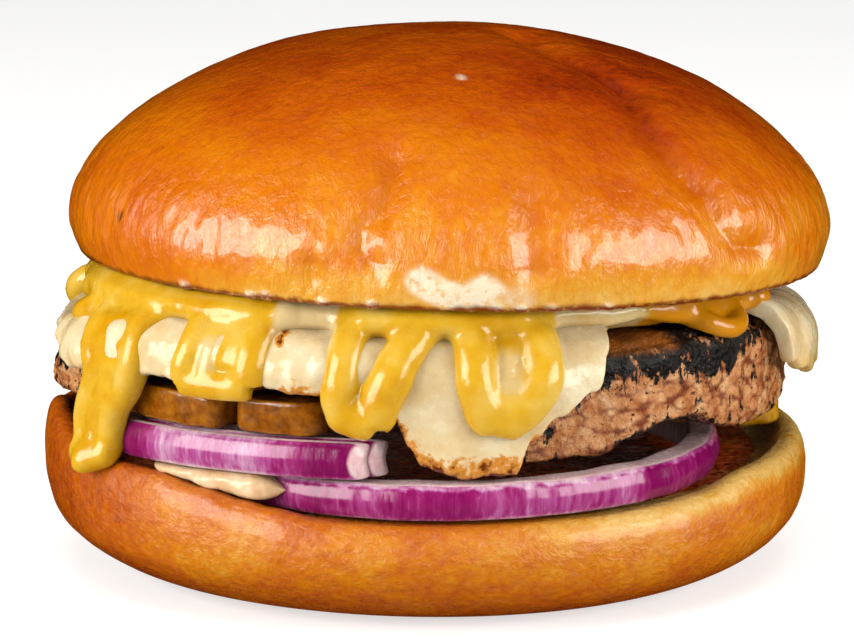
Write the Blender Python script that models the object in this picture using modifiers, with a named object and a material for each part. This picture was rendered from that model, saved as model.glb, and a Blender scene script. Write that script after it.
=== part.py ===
"""Hamburger on a glossy bun: heel, red onion, pickle chips, beef patty, cheese, cheese sauce and crown.

Metres, +Z up. The origin is the middle of the flat face that the heel rests on, and the front is towards -Y.
A bearing is an angle round Z: 0 faces the front, and positive turns to the right, towards +X.
"""

import math

import bmesh
import bpy
from mathutils import Euler, Vector, noise

MM = 0.001
GAP = 0.3 * MM  # between pieces that touch
CUT_GAP = 0.4 * MM  # by which a cutter is larger than the piece that it stands for

# Heel: the lower half of the bun.
HEEL_BASE_RADIUS = 39.0 * MM
HEEL_RADIUS = 54.8 * MM
HEEL_WIDEST = 11.5 * MM  # height of the widest ring
HEEL_CUT = 15.4 * MM  # height of the cut face
# Height of the heel's rim by bearing, in millimetres.
HEEL_RIM = [(0, 15.6), (28, 15.7), (38, 15.9), (46, 16.3), (58, 17.8), (90, 18.5), (180, 18.0),
            (235, 19.0), (262, 21.2), (275, 23.2), (282, 22.4), (290, 20.8), (300, 19.9), (316, 19.7),
            (325, 18.6), (332, 17.6), (337, 16.9), (344, 15.9), (350, 15.6)]
HEEL_RIM_WIDTH = 6.0 * MM
HEEL_RIM_RUN = 0.45  # share of that width over which the cut face rises to the rim
HEEL_RIM_STEP = 0.2 * MM  # from the cut face up to the turned rim, before it takes the heights above
HEEL_FACE_RINGS = (24.0 * MM, 40.0 * MM)  # radii of the rings of points on the cut face
HEEL_TUCK = 0.035  # how much the lower left side is drawn in
HEEL_SWELL = 0.010  # share of the radius by which the side swells and shrinks
HEEL_SWELL_SIZE = 26.0 * MM
HEEL_SIDE_POWER = 1.9  # 2 would be an ellipse; less is leaner
HEEL_STEPS = 56

# Crown: the upper half, a flattened dome cut below its widest ring.
CROWN_RADIUS = 54.4 * MM
CROWN_RISE = 27.2 * MM
CROWN_DROP = 5.2 * MM  # from the widest ring down to the cut face
CROWN_POWER = 1.9  # 2 would be an ellipse; less is leaner
CROWN_SWELL = 0.55 * MM  # how far the crust swells and sinks
CROWN_SWELL_SIZE = 24.0 * MM
CROWN_EDGE = 4.0 * MM  # height over the cut face in which swells and creases fade out
CROWN_STEPS = 60
CROWN_ROWS = 16
CROWN_PLACE = Vector((3.6 * MM, 2.5 * MM, 48.7 * MM))
CROWN_TURN = Euler((-0.015, 0.022, 0.0))

# Patty: rim radius and heights by bearing, in millimetres.
PATTY_RADIUS = [(0, 49.2), (20, 50.0), (45, 52.4), (75, 53.4), (90, 53.2), (120, 51.0), (180, 50.5),
                (240, 51.8), (262, 54.6), (280, 54.4), (300, 51.0), (320, 50.3), (340, 49.3)]
PATTY_TOP = [(0, 37.8), (14, 37.0), (26, 37.8), (38, 38.8), (52, 39.0), (66, 38.0), (80, 36.2), (90, 35.0),
             (115, 35.6), (150, 36.4), (220, 36.2), (245, 35.2), (262, 32.2), (272, 31.4), (282, 33.4),
             (297, 37.0), (320, 38.2)]
PATTY_BOTTOM = [(0, 30.4), (8, 24.8), (14, 21.8), (29, 22.0), (34, 24.2), (40, 25.8), (47, 25.8),
                (53, 23.7), (60, 22.6), (70, 22.9), (80, 24.4), (97, 24.5), (106, 22.8), (120, 20.9),
                (132, 21.3), (142, 22.2), (210, 22.2), (226, 21.0), (242, 20.6), (256, 22.2), (266, 23.4),
                (276, 24.4), (287, 25.0), (295, 26.0), (304, 31.4), (312, 31.8), (355, 31.8)]
PATTY_CENTRE = (23.4 * MM, 38.2 * MM)  # bottom and top at the middle
PATTY_SHOULDER = 4.0 * MM
PATTY_UNDER_ROUND = 0.55  # height of the lower edge's rounding, as a share of the upper edge's
PATTY_BENDS = ((0.15, 0.64), (0.25, 0.86))  # shares of the radius where the bottom and the top change height
PATTY_TOP_RINGS = (0, 0.28, 0.44, 0.58, 0.7, 0.81)
PATTY_UNDER_RINGS = (0.66, 0.45, 0.2, 0)
PATTY_SIDE_CRAGS = [(1.1 * MM, 6.0 * MM), (0.5 * MM, 3.0 * MM)]  # (depth, size)
PATTY_FLAT_CRAGS = (0.5 * MM, 8.0 * MM)
PATTY_STEPS = 58

# Cheese: how far the slice runs past the start of the patty's shoulder, by bearing, in millimetres.
CHEESE_THICK = 2.4 * MM
CHEESE_LIFT = 0.7 * MM  # between the patty's outline and the slice
CHEESE_REACH = [(2.6, 19.0), (10, 18.9), (13.2, 18.4), (15.5, 13.8), (20, 11.4), (25.5, 8.4), (28, 4.4),
                (31, -0.6), (36, -3.2), (45, -3.6), (59, -2.6), (62.5, -1.0), (66.5, 10.0), (71, 10.8),
                (91, 10.8), (99, 9.6), (110, 4.0), (125, -1.5), (145, 0.5), (164, 8.0), (176, 14.0),
                (188, 13.0), (200, 6.0), (222, 0.0), (245, 1.0), (262, 1.4), (282, 1.8), (298, 8.8),
                (312, 9.4), (322, 9.6), (332, 8.4), (344, 9.8), (353, 10.4), (355.5, 12.4), (357.6, 16.0),
                (359.6, 18.2)]
CHEESE_FRONT_FINE = 0.45  # how much closer the slice's columns stand at the front than on average
CHEESE_SWELL = 0.22  # share of the thickness by which it changes
CHEESE_HEM = (0.62, 0.25)  # shares of the thickness at which the hem's two rings stand
CHEESE_OVER_RINGS = (0.0, 0.4, 0.62, 0.74, 0.8, 0.85, 0.9, 0.945, 0.98)
CHEESE_UNDER_RINGS = (0.98, 0.92, 0.86, 0.8, 0.73, 0.6, 0.42, 0.0)
CHEESE_STEPS = 64

# Onion: one whole ring, and arcs of broken rings (first bearing, last bearing, outer radius of each layer).
ONION_WALL = 4.6 * MM
ONION_BELLY = 0.5 * MM  # how far a wall curves outwards at half its height
ONION_BEVEL = 0.5 * MM
ONION_RING_CENTRE = Vector((4.0 * MM, -15.5 * MM, 0))
ONION_RING_RADIUS = 37.5 * MM
ONION_RING_BOTTOM = 16.2 * MM
ONION_RING_HEIGHT = 4.9 * MM
ONION_RING_LEAN = 0.011  # rise towards +X
ONION_RING_STEPS = 48
ONION_LAYER = 2.3 * MM  # wall of one layer of an arc
ONION_ARC_HEIGHT = 5.1 * MM
ONION_ARC_STEP = 3.2  # degrees
ONION_BIAS = 0.09  # how much further, in radians, an arc's inner side runs than its outer side
LEFT_ARC = (-64.0, -10.5, 52.2 * MM)
LEFT_ARC_LEVEL = 21.3 * MM  # height of the underside at its right end
LEFT_ARC_FALL = 0.9 * MM  # how far it has fallen 50 degrees on
BACK_ARC = (138.0, 214.0, 48.4 * MM)
BACK_ARC_LEVEL = 16.2 * MM
BACK_ARC_WAVE = 0.2 * MM

# Pickle chips: bearing and radius of the middle, half width and depth, underside, tilt outwards, thickness.
PICKLE_POWER = 3.4  # 2 would be an ellipse; more is squarer
PICKLE_EDGE = 0.7 * MM  # radius of the rounded edge
PICKLE_STEPS = 20
PICKLES = {
    "pickle_front_left": (-43.5, 47.0, 8.9, 4.0, 26.4, 0.0, 4.5),
    "pickle_front_middle": (-23.4, 47.0, 6.6, 4.0, 26.7, 0.0, 4.5),
    "pickle_right": (94.4, 46.0, 7.2, 5.4, 18.6, 3.0, 4.4),
    "pickle_back": (242.0, 40.0, 8.0, 8.0, 15.9, 0.0, 3.7),
}

# Cheese sauce: a pool under the crown, and strands (bearing, height, half width) that run over the edge.
SAUCE_POOL_RADIUS = [(0, 50.5), (14, 50.4), (24, 48.4), (36, 48.2), (44, 49.6), (60, 49.8), (76, 48.0),
                     (90, 47.0), (135, 46.0), (180, 48.5), (225, 46.0), (270, 48.0), (300, 51.0), (326, 50.6),
                     (337, 50.0), (341, 48.2), (346, 48.4), (350, 50.2)]
SAUCE_POOL_BOTTOM = 39.2 * MM
SAUCE_POOL_TOP = 44.6 * MM
SAUCE_POOL_EDGE = (43.0 * MM, 41.4 * MM)  # heights between which the pool is widest
SAUCE_POOL_STEPS = 72
SAUCE_VOXEL = 1.3 * MM
SAUCE_FACES_KEPT = 0.049
SAUCE_STRANDS = {
    "left_outer": [(-56.5, 43.2, 2.4), (-58.4, 39.6, 2.3), (-58.4, 36.7, 2.0), (-57.8, 34.6, 2.0),
                   (-57.1, 31.9, 2.0), (-58.5, 29.0, 2.0), (-59.5, 26.0, 2.1), (-59.5, 22.8, 2.2),
                   (-58.6, 20.4, 2.2), (-57.9, 19.2, 1.3)],
    "left_middle": [(-52.7, 40.6, 2.2), (-52.7, 37.6, 1.6), (-52.5, 35.4, 1.6), (-52.3, 32.6, 1.7),
                    (-53.7, 29.8, 2.0), (-55.7, 26.7, 2.1), (-56.1, 23.4, 2.3), (-56.2, 20.6, 2.6),
                    (-56.4, 18.9, 2.0), (-56.4, 18.0, 0.8)],
    "left_inner": [(-47.0, 43.4, 2.4), (-47.8, 40.5, 2.3), (-47.9, 38.3, 2.3), (-47.7, 36.1, 2.3),
                   (-47.9, 33.3, 2.3), (-49.4, 30.4, 2.3), (-52.2, 27.2, 2.2), (-53.3, 23.8, 2.2),
                   (-54.0, 20.9, 2.2), (-54.6, 19.6, 1.3)],
    "left_lobe": [(-50.3, 43.6, 2.5), (-57, 43.2, 2.6), (-64, 42.4, 2.7), (-70, 41.4, 2.4),
                  (-73, 40.8, 1.4)],
    "left_lobe_low": [(-48, 41.2, 2.2), (-55, 41.0, 2.4), (-62, 39.6, 2.5), (-67, 38.4, 2.0),
                      (-69, 38.0, 1.0)],
    "left_fill": [(-60, 37.6, 2.2), (-54, 38.6, 2.0), (-48, 39.4, 2.0), (-41.7, 43.0, 2.2)],
    "left_sheet": [(-59.5, 35.6, 1.8), (-54, 36.0, 1.7), (-48.5, 36.4, 1.9)],
    "left_sheet_low": [(-58.5, 33.4, 1.8), (-54, 33.2, 1.7), (-48.5, 33.6, 1.9)],
    "second_left": [(-37.5, 43.8, 2.2), (-36.8, 42.0, 2.2), (-36.5, 40.2, 2.2), (-36.7, 37.5, 2.1),
                    (-37.4, 34.9, 2.1), (-37.5, 33.0, 2.0)],
    "second_right": [(-25.7, 44.0, 2.6), (-26.2, 41.5, 2.6), (-26.4, 38.5, 2.6), (-26.5, 35.8, 2.6),
                     (-26.6, 33.6, 2.4)],
    "second_inner": [(-29.6, 43.6, 2.2), (-29.2, 41.2, 2.2), (-29.3, 38.3, 2.0), (-29.6, 35.6, 2.0)],
    "second_middle": [(-34.0, 43.6, 2.3), (-33.3, 42.3, 2.3), (-32.7, 40.8, 2.1)],
    "second_film": [(-32.9, 39.6, 1.6), (-33.2, 36.8, 1.4), (-33.3, 34.2, 1.6)],
    "second_band": [(-37.8, 32.8, 1.9), (-32, 32.9, 2.0), (-26.6, 33.2, 2.1)],
    "middle_left": [(-11.6, 43.2, 2.6), (-11.6, 41.7, 2.6), (-11.9, 38.2, 2.6), (-12.2, 35.4, 2.6),
                    (-12.7, 32.6, 2.6), (-12.4, 30.9, 2.4)],
    "middle_right": [(3.4, 42.4, 2.9), (0.8, 41.4, 2.9), (-1.5, 39.8, 2.9), (-3.9, 37.3, 2.9),
                     (-4.9, 35.4, 3.0), (-6.2, 32.6, 2.9), (-6.9, 30.4, 2.8), (-7.6, 29.6, 2.5)],
    "middle_foot": [(-14.2, 31.0, 1.2), (-12.9, 30.5, 2.3), (-10.2, 29.7, 2.5), (-7.9, 29.1, 2.4),
                    (-7.0, 28.9, 1.2)],
    "front_left": [(7.2, 42.4, 3.0), (7.3, 38.3, 2.9), (7.3, 34.7, 2.9), (8.0, 32.6, 2.9), (8.9, 30.4, 2.8),
                   (10.2, 28.9, 2.4)],
    "front_right": [(16.5, 42.4, 3.1), (17.5, 40.1, 3.0), (17.6, 37.9, 3.0), (17.3, 35.4, 3.1),
                    (15.7, 32.8, 3.1), (14.0, 30.7, 2.9), (12.3, 29.2, 2.6), (11.0, 28.4, 2.3),
                    (10.6, 27.4, 1.4)],
    "front_foot": [(9.4, 31.6, 2.4), (12.4, 31.4, 2.4), (10.9, 29.6, 2.4)],
    "front_film": [(12.4, 40.2, 2.0), (12.5, 37.2, 1.4), (11.8, 33.6, 1.5)],
    "front_band": [(-12.3, 43.0, 2.3), (-6.1, 42.6, 2.4), (0.7, 42.0, 2.4), (7.5, 42.0, 2.4),
                   (13.0, 41.8, 2.5), (18.7, 42.4, 2.3)],
    "front_melt": [(20, 42.4, 2.2), (26, 41.8, 2.0), (32, 41.8, 1.8), (37, 42.2, 1.5)],
    "right_stain": [(38, 42.2, 1.5), (44, 41.2, 1.8), (50, 40.4, 1.8), (57, 40.2, 1.9), (64, 40.6, 1.8),
                    (69, 41.2, 1.5)],
    "right_drip": [(48, 40.4, 1.6), (51, 38.7, 1.5), (55, 38.3, 1.6), (59, 39.4, 1.5)],
}
SAUCE_SUNK = 0.3 * MM  # how far a strand's middle lies inside the outline of the cheese
SAUCE_BARE = (36, 60, 6, 0.9)  # bearings where strands lie on the bare patty, easing, share of the drop
SAUCE_DRIP = (18.5 * MM, 22.5 * MM, 2.6 * MM)  # between these heights a strand moves outwards, over the heel
# The loops at the back repeat those of the front: (first bearing, last bearing, lowest height).
SAUCE_BACK_LOOPS = [(128, 146, 31.0), (166, 186, 27.5), (206, 222, 30.5), (238, 252, 32.5)]
SAUCE_BACK_TOP = 41.5
SAUCE_BACK_SHOULDER = 38.0
SAUCE_BACK_WIDTHS = (2.6, 2.4, 2.3, 2.4)  # from the top to the lowest point
SAUCE_BACK_LEAN = 0.8  # how wide a loop still is half way down

# Creases in the crown's crust: (bearing, latitude) points, then width and depth.
CROWN_CREASES = [
    ([(45, 52), (42, 45), (39.5, 36), (40, 28), (42.5, 20), (43.5, 10), (46, 4), (51, 3)],
     2.6 * MM, 1.3 * MM),
    ([(-10, 32), (-10, 24), (-11, 17), (-13.8, 13), (-13.5, 7), (-12, 2)], 2.6 * MM, 1.3 * MM),
    ([(11.6, 20), (11.3, 10), (11.2, 1)], 2.6 * MM, 0.9 * MM),
    ([(-20.4, -1), (-20.1, -11)], 2.4 * MM, 0.8 * MM),
    ([(70, 78), (50, 70), (47, 62), (49, 53)], 3.4 * MM, 1.2 * MM),
    ([(-150, 40), (-152, 24), (-146, 8)], 2.8 * MM, 1.1 * MM),
    ([(132, 36), (140, 20), (138, 4)], 2.8 * MM, 1.0 * MM),
]

COLOURS = {
    "bun": ((0.72, 0.27, 0.03, 1), 0.35),
    "patty": ((0.16, 0.075, 0.04, 1), 0.6),
    "cheese": ((0.86, 0.70, 0.42, 1), 0.35),
    "sauce": ((0.86, 0.50, 0.06, 1), 0.3),
    "onion": ((0.45, 0.06, 0.27, 1), 0.3),
    "pickle": ((0.27, 0.16, 0.02, 1), 0.35),
}


def clear_scene():
    for obj in list(bpy.data.objects):
        bpy.data.objects.remove(obj, do_unlink=True)


def material(kind):
    found = bpy.data.materials.get(kind)
    if found:
        return found
    made = bpy.data.materials.new(kind)
    made.use_nodes = True
    shader = made.node_tree.nodes["Principled BSDF"]
    colour, roughness = COLOURS[kind]
    shader.inputs["Base Color"].default_value = colour
    shader.inputs["Roughness"].default_value = roughness
    shader.inputs["Metallic"].default_value = 0.0
    made.diffuse_color = colour
    return made


def polar(radius, bearing, height):
    return Vector((radius * math.sin(bearing), -radius * math.cos(bearing), height))


def bearing_of(point):
    return math.atan2(point.x, -point.y)


def eased(share):
    share = min(max(share, 0.0), 1.0)
    return share * share * (3 - 2 * share)


def by_bearing(stops, bearing):
    """A value that eases from stop to stop all the way round. A stop is (degrees, millimetres)."""
    degrees = math.degrees(bearing) % 360
    later = next((i for i, stop in enumerate(stops) if stop[0] > degrees), len(stops))
    start, low = stops[later - 1]
    end, high = stops[later % len(stops)]
    span = (end - start) % 360 or 360
    return (low + (high - low) * eased(((degrees - start) % 360) / span)) * MM


def linked(name, data, kind):
    obj = bpy.data.objects.new(name, data)
    bpy.context.scene.collection.objects.link(obj)
    obj.data.materials.append(material(kind))
    return obj


def baked(obj):
    """Turns the object, with its modifiers, into a plain mesh with the same name, place and material."""
    bpy.context.view_layer.update()
    graph = bpy.context.evaluated_depsgraph_get()
    mesh = bpy.data.meshes.new_from_object(obj.evaluated_get(graph))
    made = bpy.data.objects.new("baking", mesh)
    bpy.context.scene.collection.objects.link(made)
    made.matrix_world = obj.matrix_world.copy()
    name = obj.name
    bpy.data.objects.remove(obj, do_unlink=True)
    made.name = name
    return made


def turned(name, profile, steps, kind, closed=False):
    """Turns a profile of (radius, height) points, listed from the top down the outer side, about Z."""
    edges = [(i, i + 1) for i in range(len(profile) - 1)]
    if closed:
        edges.append((len(profile) - 1, 0))
    mesh = bpy.data.meshes.new(name)
    mesh.from_pydata([(radius, 0, height) for radius, height in profile], edges, [])
    obj = linked(name, mesh, kind)
    screw = obj.modifiers.new("Screw", "SCREW")
    screw.steps = screw.render_steps = steps
    screw.use_merge_vertices = True
    screw.merge_threshold = 0.02 * MM
    return baked(obj)


def sculpt(obj, move):
    """Moves each vertex to where move(its place) says, and splits the faces, which can then be bent."""
    shape = bmesh.new()
    shape.from_mesh(obj.data)
    for vertex in shape.verts:
        vertex.co = move(vertex.co.copy())
    bmesh.ops.triangulate(shape, faces=shape.faces, quad_method="FIXED")
    shape.to_mesh(obj.data)
    shape.free()
    return obj


def lumps(point, size):
    """Smooth noise from -1 to 1 whose bumps are about this size across."""
    return noise.noise(point / size)


def distance_to_path(point, path):
    best = 1.0
    for start, end in zip(path, path[1:]):
        along = end - start
        share = max(0.0, min(1.0, (point - start).dot(along) / along.length_squared))
        best = min(best, (point - start - along * share).length)
    return best


def quarter(start, end, count, power=2.0):
    """Points after start on a rounded quarter, which runs level at start and upright at end."""
    points = []
    for i in range(1, count + 1):
        turn = i / count * math.pi / 2
        out, down = math.sin(turn) ** (2 / power), math.cos(turn) ** (2 / power)
        points.append((start[0] + (end[0] - start[0]) * out, end[1] + (start[1] - end[1]) * down))
    return points


def heel():
    rim = HEEL_CUT + HEEL_RIM_STEP
    inner = HEEL_RADIUS - HEEL_RIM_WIDTH
    profile = [(radius, HEEL_CUT) for radius in (0, *HEEL_FACE_RINGS, inner)]
    profile += [(inner + HEEL_RIM_WIDTH * HEEL_RIM_RUN, rim)]
    profile += quarter((inner + HEEL_RIM_WIDTH * 0.6, rim), (HEEL_RADIUS, HEEL_WIDEST), 4)
    side = quarter((HEEL_BASE_RADIUS, 0), (HEEL_RADIUS, HEEL_WIDEST), 7, HEEL_SIDE_POWER)
    profile += side[-2::-1] + [(HEEL_BASE_RADIUS, 0), (0, 0)]

    def shape(point):
        bearing, radius = bearing_of(point), math.hypot(point.x, point.y)
        rise = by_bearing(HEEL_RIM, bearing) - rim
        share = eased((radius - inner) / (HEEL_RIM_WIDTH * HEEL_RIM_RUN))
        upper = eased((point.z - HEEL_WIDEST * 0.6) / (HEEL_CUT - HEEL_WIDEST * 0.6))
        lifted = point.z + rise * share * upper
        swell = 1 + HEEL_SWELL * lumps(point, HEEL_SWELL_SIZE) * eased(radius / HEEL_BASE_RADIUS - 0.9)
        low = eased((HEEL_WIDEST - point.z) / HEEL_WIDEST) * eased(radius / HEEL_BASE_RADIUS * 2 - 1)
        swell -= HEEL_TUCK * low * eased(0.5 - 0.9 * math.sin(bearing))
        return Vector((point.x * swell, point.y * swell, lifted))

    return sculpt(turned("bun_heel", profile, HEEL_STEPS, "bun"), shape)


def crown_point(bearing, latitude):
    """A point of the crown's dome in its own frame, whose origin is the middle of the widest ring."""
    out, up = abs(math.cos(latitude)) ** (2 / CROWN_POWER), abs(math.sin(latitude)) ** (2 / CROWN_POWER)
    return polar(CROWN_RADIUS * out, bearing, CROWN_RISE * math.copysign(up, latitude))


def crown():
    lowest = -math.asin((CROWN_DROP / CROWN_RISE) ** (CROWN_POWER / 2))
    step = (lowest - math.pi / 2) / CROWN_ROWS
    dome = [crown_point(0, math.pi / 2 + step * row) for row in range(CROWN_ROWS + 1)]
    profile = [(-point.y, point.z) for point in dome]
    edge_radius, edge = profile[-1]
    profile[-1] = (edge_radius - 0.1 * MM, edge + 0.5 * MM)
    profile += [(edge_radius - 1.0 * MM, edge), (edge_radius * 0.6, edge), (0, edge)]
    profile[0] = (0, CROWN_RISE)
    creases = [([crown_point(*map(math.radians, stop)) for stop in path], width, depth)
               for path, width, depth in CROWN_CREASES]

    def shape(point):
        above = eased((point.z - edge) / CROWN_EDGE)
        inward = CROWN_SWELL * lumps(point, CROWN_SWELL_SIZE) * above
        for path, width, depth in creases:
            away = distance_to_path(point, path)
            inward += above * depth * math.exp(-((away / width) ** 2))
        if point.z <= edge + 0.01 * MM:
            return point
        outward = Vector((point.x / CROWN_RADIUS**2, point.y / CROWN_RADIUS**2, point.z / CROWN_RISE**2))
        return point - outward.normalized() * inward

    obj = sculpt(turned("bun_crown", profile, CROWN_STEPS, "bun"), shape)
    obj.rotation_euler = CROWN_TURN
    obj.location = CROWN_PLACE
    return obj


def patty_level(bearing, share, which):
    """Height of the patty's underside (which = 0) or top (which = 1) at a share of its rim radius."""
    rim = by_bearing((PATTY_BOTTOM, PATTY_TOP)[which], bearing)
    start, end = PATTY_BENDS[which]
    return PATTY_CENTRE[which] + (rim - PATTY_CENTRE[which]) * eased((share - start) / (end - start))


def patty_shoulder(bearing):
    """How far the patty's rounded edge reaches down from its top at the rim, which is half of a thin rim."""
    return min(PATTY_SHOULDER, (patty_level(bearing, 1, 1) - patty_level(bearing, 1, 0)) / 2)


def patty(name="patty", grow=0.0):
    """A thick disc bent to the patty's heights, with crags that all go inwards. A grown one is smooth."""
    unit = 50 * MM
    half = 7 * MM
    shoulder = PATTY_SHOULDER
    profile = [(unit * share, half) for share in PATTY_TOP_RINGS] + [(unit - shoulder, half)]
    profile += quarter((unit - shoulder, half), (unit, half - shoulder), 3)
    profile += [(unit, 0)]
    low = quarter((unit - shoulder, -half), (unit, shoulder - half), 3)
    profile += low[::-1] + [(unit - shoulder, -half)] + [(unit * share, -half) for share in PATTY_UNDER_RINGS]

    def shape(point):
        bearing, radius = bearing_of(point), math.hypot(point.x, point.y)
        rim = by_bearing(PATTY_RADIUS, bearing) + grow
        share = radius / unit
        bottom = patty_level(bearing, share, 0) - grow
        top = patty_level(bearing, share, 1) + grow
        bitten = 0.0
        if share > 0.8 and grow == 0:
            bitten = sum(depth * (0.5 + 0.5 * lumps(point, size)) for depth, size in PATTY_SIDE_CRAGS)
        drop = (half - abs(point.z)) * patty_shoulder(bearing) / shoulder
        height = top - drop if point.z > 0 else bottom + drop * PATTY_UNDER_ROUND
        if abs(point.z) < half - shoulder - 0.01 * MM:
            height = (top + bottom) / 2
        placed = polar(rim * share - bitten, bearing, height)
        if abs(point.z) > half * 0.9 and grow == 0:
            depth, size = PATTY_FLAT_CRAGS
            placed.z -= math.copysign(depth * (0.5 + 0.5 * lumps(point, size)), point.z)
        return placed

    return sculpt(turned(name, profile, PATTY_STEPS, "patty"), shape)


def drape(bearing, run, proud):
    """A point proud of the patty, after a run from its middle over the top and down the side."""
    rim = by_bearing(PATTY_RADIUS, bearing)
    flat = rim - PATTY_SHOULDER
    arc = (PATTY_SHOULDER + CHEESE_LIFT) * math.pi / 2
    if run <= flat:
        return polar(run, bearing, patty_level(bearing, run / rim, 1) + proud)
    upright = patty_shoulder(bearing)
    middle = patty_level(bearing, 1, 1) - upright
    turn = min((run - flat) / arc, 1.0) * math.pi / 2
    down = max(run - flat - arc, 0.0)
    out, up = (PATTY_SHOULDER + proud) * math.sin(turn), (upright + proud) * math.cos(turn)
    return polar(flat + out, bearing, middle + up - down)


def cheese(name="cheese", grow=0.0):
    """A flat slice with a round hem, bent over the patty."""
    unit = 50 * MM
    profile = [(unit * run, CHEESE_THICK) for run in CHEESE_OVER_RINGS]
    profile += [(unit, CHEESE_THICK * share) for share in CHEESE_HEM]
    profile += [(unit * run, 0.0) for run in CHEESE_UNDER_RINGS]

    def shape(point):
        bearing = bearing_of(point)
        bearing -= CHEESE_FRONT_FINE * math.sin(bearing)
        rim = by_bearing(PATTY_RADIUS, bearing)
        length = rim - PATTY_SHOULDER + by_bearing(CHEESE_REACH, bearing) + grow
        share = math.hypot(point.x, point.y) / unit
        swell = 1 + CHEESE_SWELL * lumps(Vector((bearing * 9, share * 4, 0)), 1.0) * eased(share * 3 - 1.6)
        proud = CHEESE_LIFT - grow + (point.z / CHEESE_THICK) * (CHEESE_THICK * swell + 2 * grow)
        return drape(bearing, length * share, proud)

    return sculpt(turned(name, profile, CHEESE_STEPS, "cheese"), shape)


def wall_section(height, outer, wall):
    """A wall's section with a bellied outer side: (radius, height) from the top down the outer side."""
    inner = outer - wall
    return [(outer - ONION_BEVEL, height), (outer, height * 0.86), (outer + ONION_BELLY, height * 0.5),
            (outer, height * 0.12), (outer - ONION_BEVEL, 0), (inner, 0), (inner + ONION_BELLY, height * 0.5),
            (inner, height)]


def onion_ring():
    section = wall_section(ONION_RING_HEIGHT, ONION_RING_RADIUS, ONION_WALL)

    def shape(point):
        bearing = bearing_of(point)
        round_out = 1 + 0.008 * math.cos(2 * bearing) + 0.004 * math.cos(5 * bearing + 1)
        return Vector((point.x * round_out, point.y * round_out, point.z + ONION_RING_LEAN * point.x))

    obj = sculpt(turned("onion_ring_front", section, ONION_RING_STEPS, "onion", closed=True), shape)
    obj.location = ONION_RING_CENTRE + Vector((0, 0, ONION_RING_BOTTOM))
    return obj


def onion_arc(name, first, last, outer, outermost, level):
    """One layer of a broken ring, between two bearings. level(bearing) is its underside's height."""
    shape = bmesh.new()
    wall = ONION_LAYER - GAP
    corners = [shape.verts.new(polar(radius, first, height))
               for radius, height in wall_section(ONION_ARC_HEIGHT, outer, wall)]
    section = shape.faces.new(corners)
    steps = round(math.degrees(last - first) / ONION_ARC_STEP)
    bmesh.ops.spin(shape, geom=[section], cent=(0, 0, 0), axis=(0, 0, 1), angle=last - first, steps=steps)
    bmesh.ops.recalc_face_normals(shape, faces=shape.faces)
    mesh = bpy.data.meshes.new(name)
    shape.to_mesh(mesh)
    shape.free()
    obj = linked(name, mesh, "onion")

    def bend(point):
        bearing, radius = bearing_of(point), math.hypot(point.x, point.y)
        if bearing < first - 0.01:
            bearing += math.tau
        inner = (outermost - radius) / (2 * ONION_LAYER)
        near_end = eased(1 - (last - bearing) / (2 * ONION_BIAS))
        return polar(radius, bearing + near_end * inner * ONION_BIAS, point.z + level(bearing))

    return sculpt(obj, bend)


def onion_arcs():
    def left_level(bearing):
        past = max(math.radians(LEFT_ARC[1]) - bearing, 0.0)
        return LEFT_ARC_LEVEL - LEFT_ARC_FALL * (past / math.radians(50)) ** 1.4

    def back_level(bearing):
        return BACK_ARC_LEVEL + BACK_ARC_WAVE * math.sin(4 * bearing)

    first, last, outer = LEFT_ARC
    ends = math.radians(first), math.radians(last)
    onion_arc("onion_arc_left_outer", *ends, outer, outer, left_level)
    onion_arc("onion_arc_left_inner", *ends, outer - ONION_LAYER, outer, left_level)
    first, last, outer = BACK_ARC
    onion_arc("onion_arc_back", math.radians(first), math.radians(last), outer, outer, back_level)


def pickles():
    unit = 7 * MM
    edge = PICKLE_EDGE
    lower = quarter((unit - edge, 0), (unit, edge), 2)
    for name, (degrees, middle, half_width, half_depth, level, tilt, thick) in PICKLES.items():
        top = thick * MM
        profile = [(0, top), (unit - edge, top)] + quarter((unit - edge, top), (unit, top - edge), 2)
        profile += lower[::-1] + [(unit - edge, 0), (0, 0)]

        def shape(point, wide=half_width * MM / unit, deep=half_depth * MM / unit):
            if point.x == point.y == 0:
                return point
            along, across = (abs(value) / math.hypot(point.x, point.y) for value in (point.x, point.y))
            squarer = (along**PICKLE_POWER + across**PICKLE_POWER) ** (-1 / PICKLE_POWER)
            return Vector((point.x * squarer * wide, point.y * squarer * deep, point.z))

        obj = sculpt(turned(name, profile, PICKLE_STEPS, "pickle"), shape)
        bearing = math.radians(degrees)
        obj.rotation_euler = (-math.radians(tilt), 0, bearing)
        obj.location = polar(middle * MM, bearing, level * MM)


def smoothed(stops, per_span=4):
    """Points along a smooth curve through the stops, which are tuples of numbers of the same length."""
    ends = [stops[0], *stops, stops[-1]]
    points = []
    for before, start, end, after in zip(ends, ends[1:], ends[2:], ends[3:]):
        for i in range(per_span):
            t = i / per_span
            points.append(tuple(b + (c - a) * t / 2 + (2 * a - 5 * b + 4 * c - d) * t**2 / 2
                                + (3 * b - a - 3 * c + d) * t**3 / 2
                                for a, b, c, d in zip(before, start, end, after)))
    return points + [stops[-1]]


def cover_radius(bearing, height):
    """Radius of what the strands lie on at a height, which shrinks towards the top of its shoulder."""
    rim = by_bearing(PATTY_RADIUS, bearing)
    first, last, soft, share = SAUCE_BARE
    degrees = math.degrees(bearing)
    bare = share * eased((degrees - first) / soft + 1) * eased((last - degrees) / soft + 1)
    reach = PATTY_SHOULDER + CHEESE_LIFT + CHEESE_THICK * (1 - bare)
    above = height - (patty_level(bearing, 1, 1) - PATTY_SHOULDER)
    side = math.sqrt(max(reach**2 - max(above, 0.0) ** 2, 0.0))
    return rim - PATTY_SHOULDER + side


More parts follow.
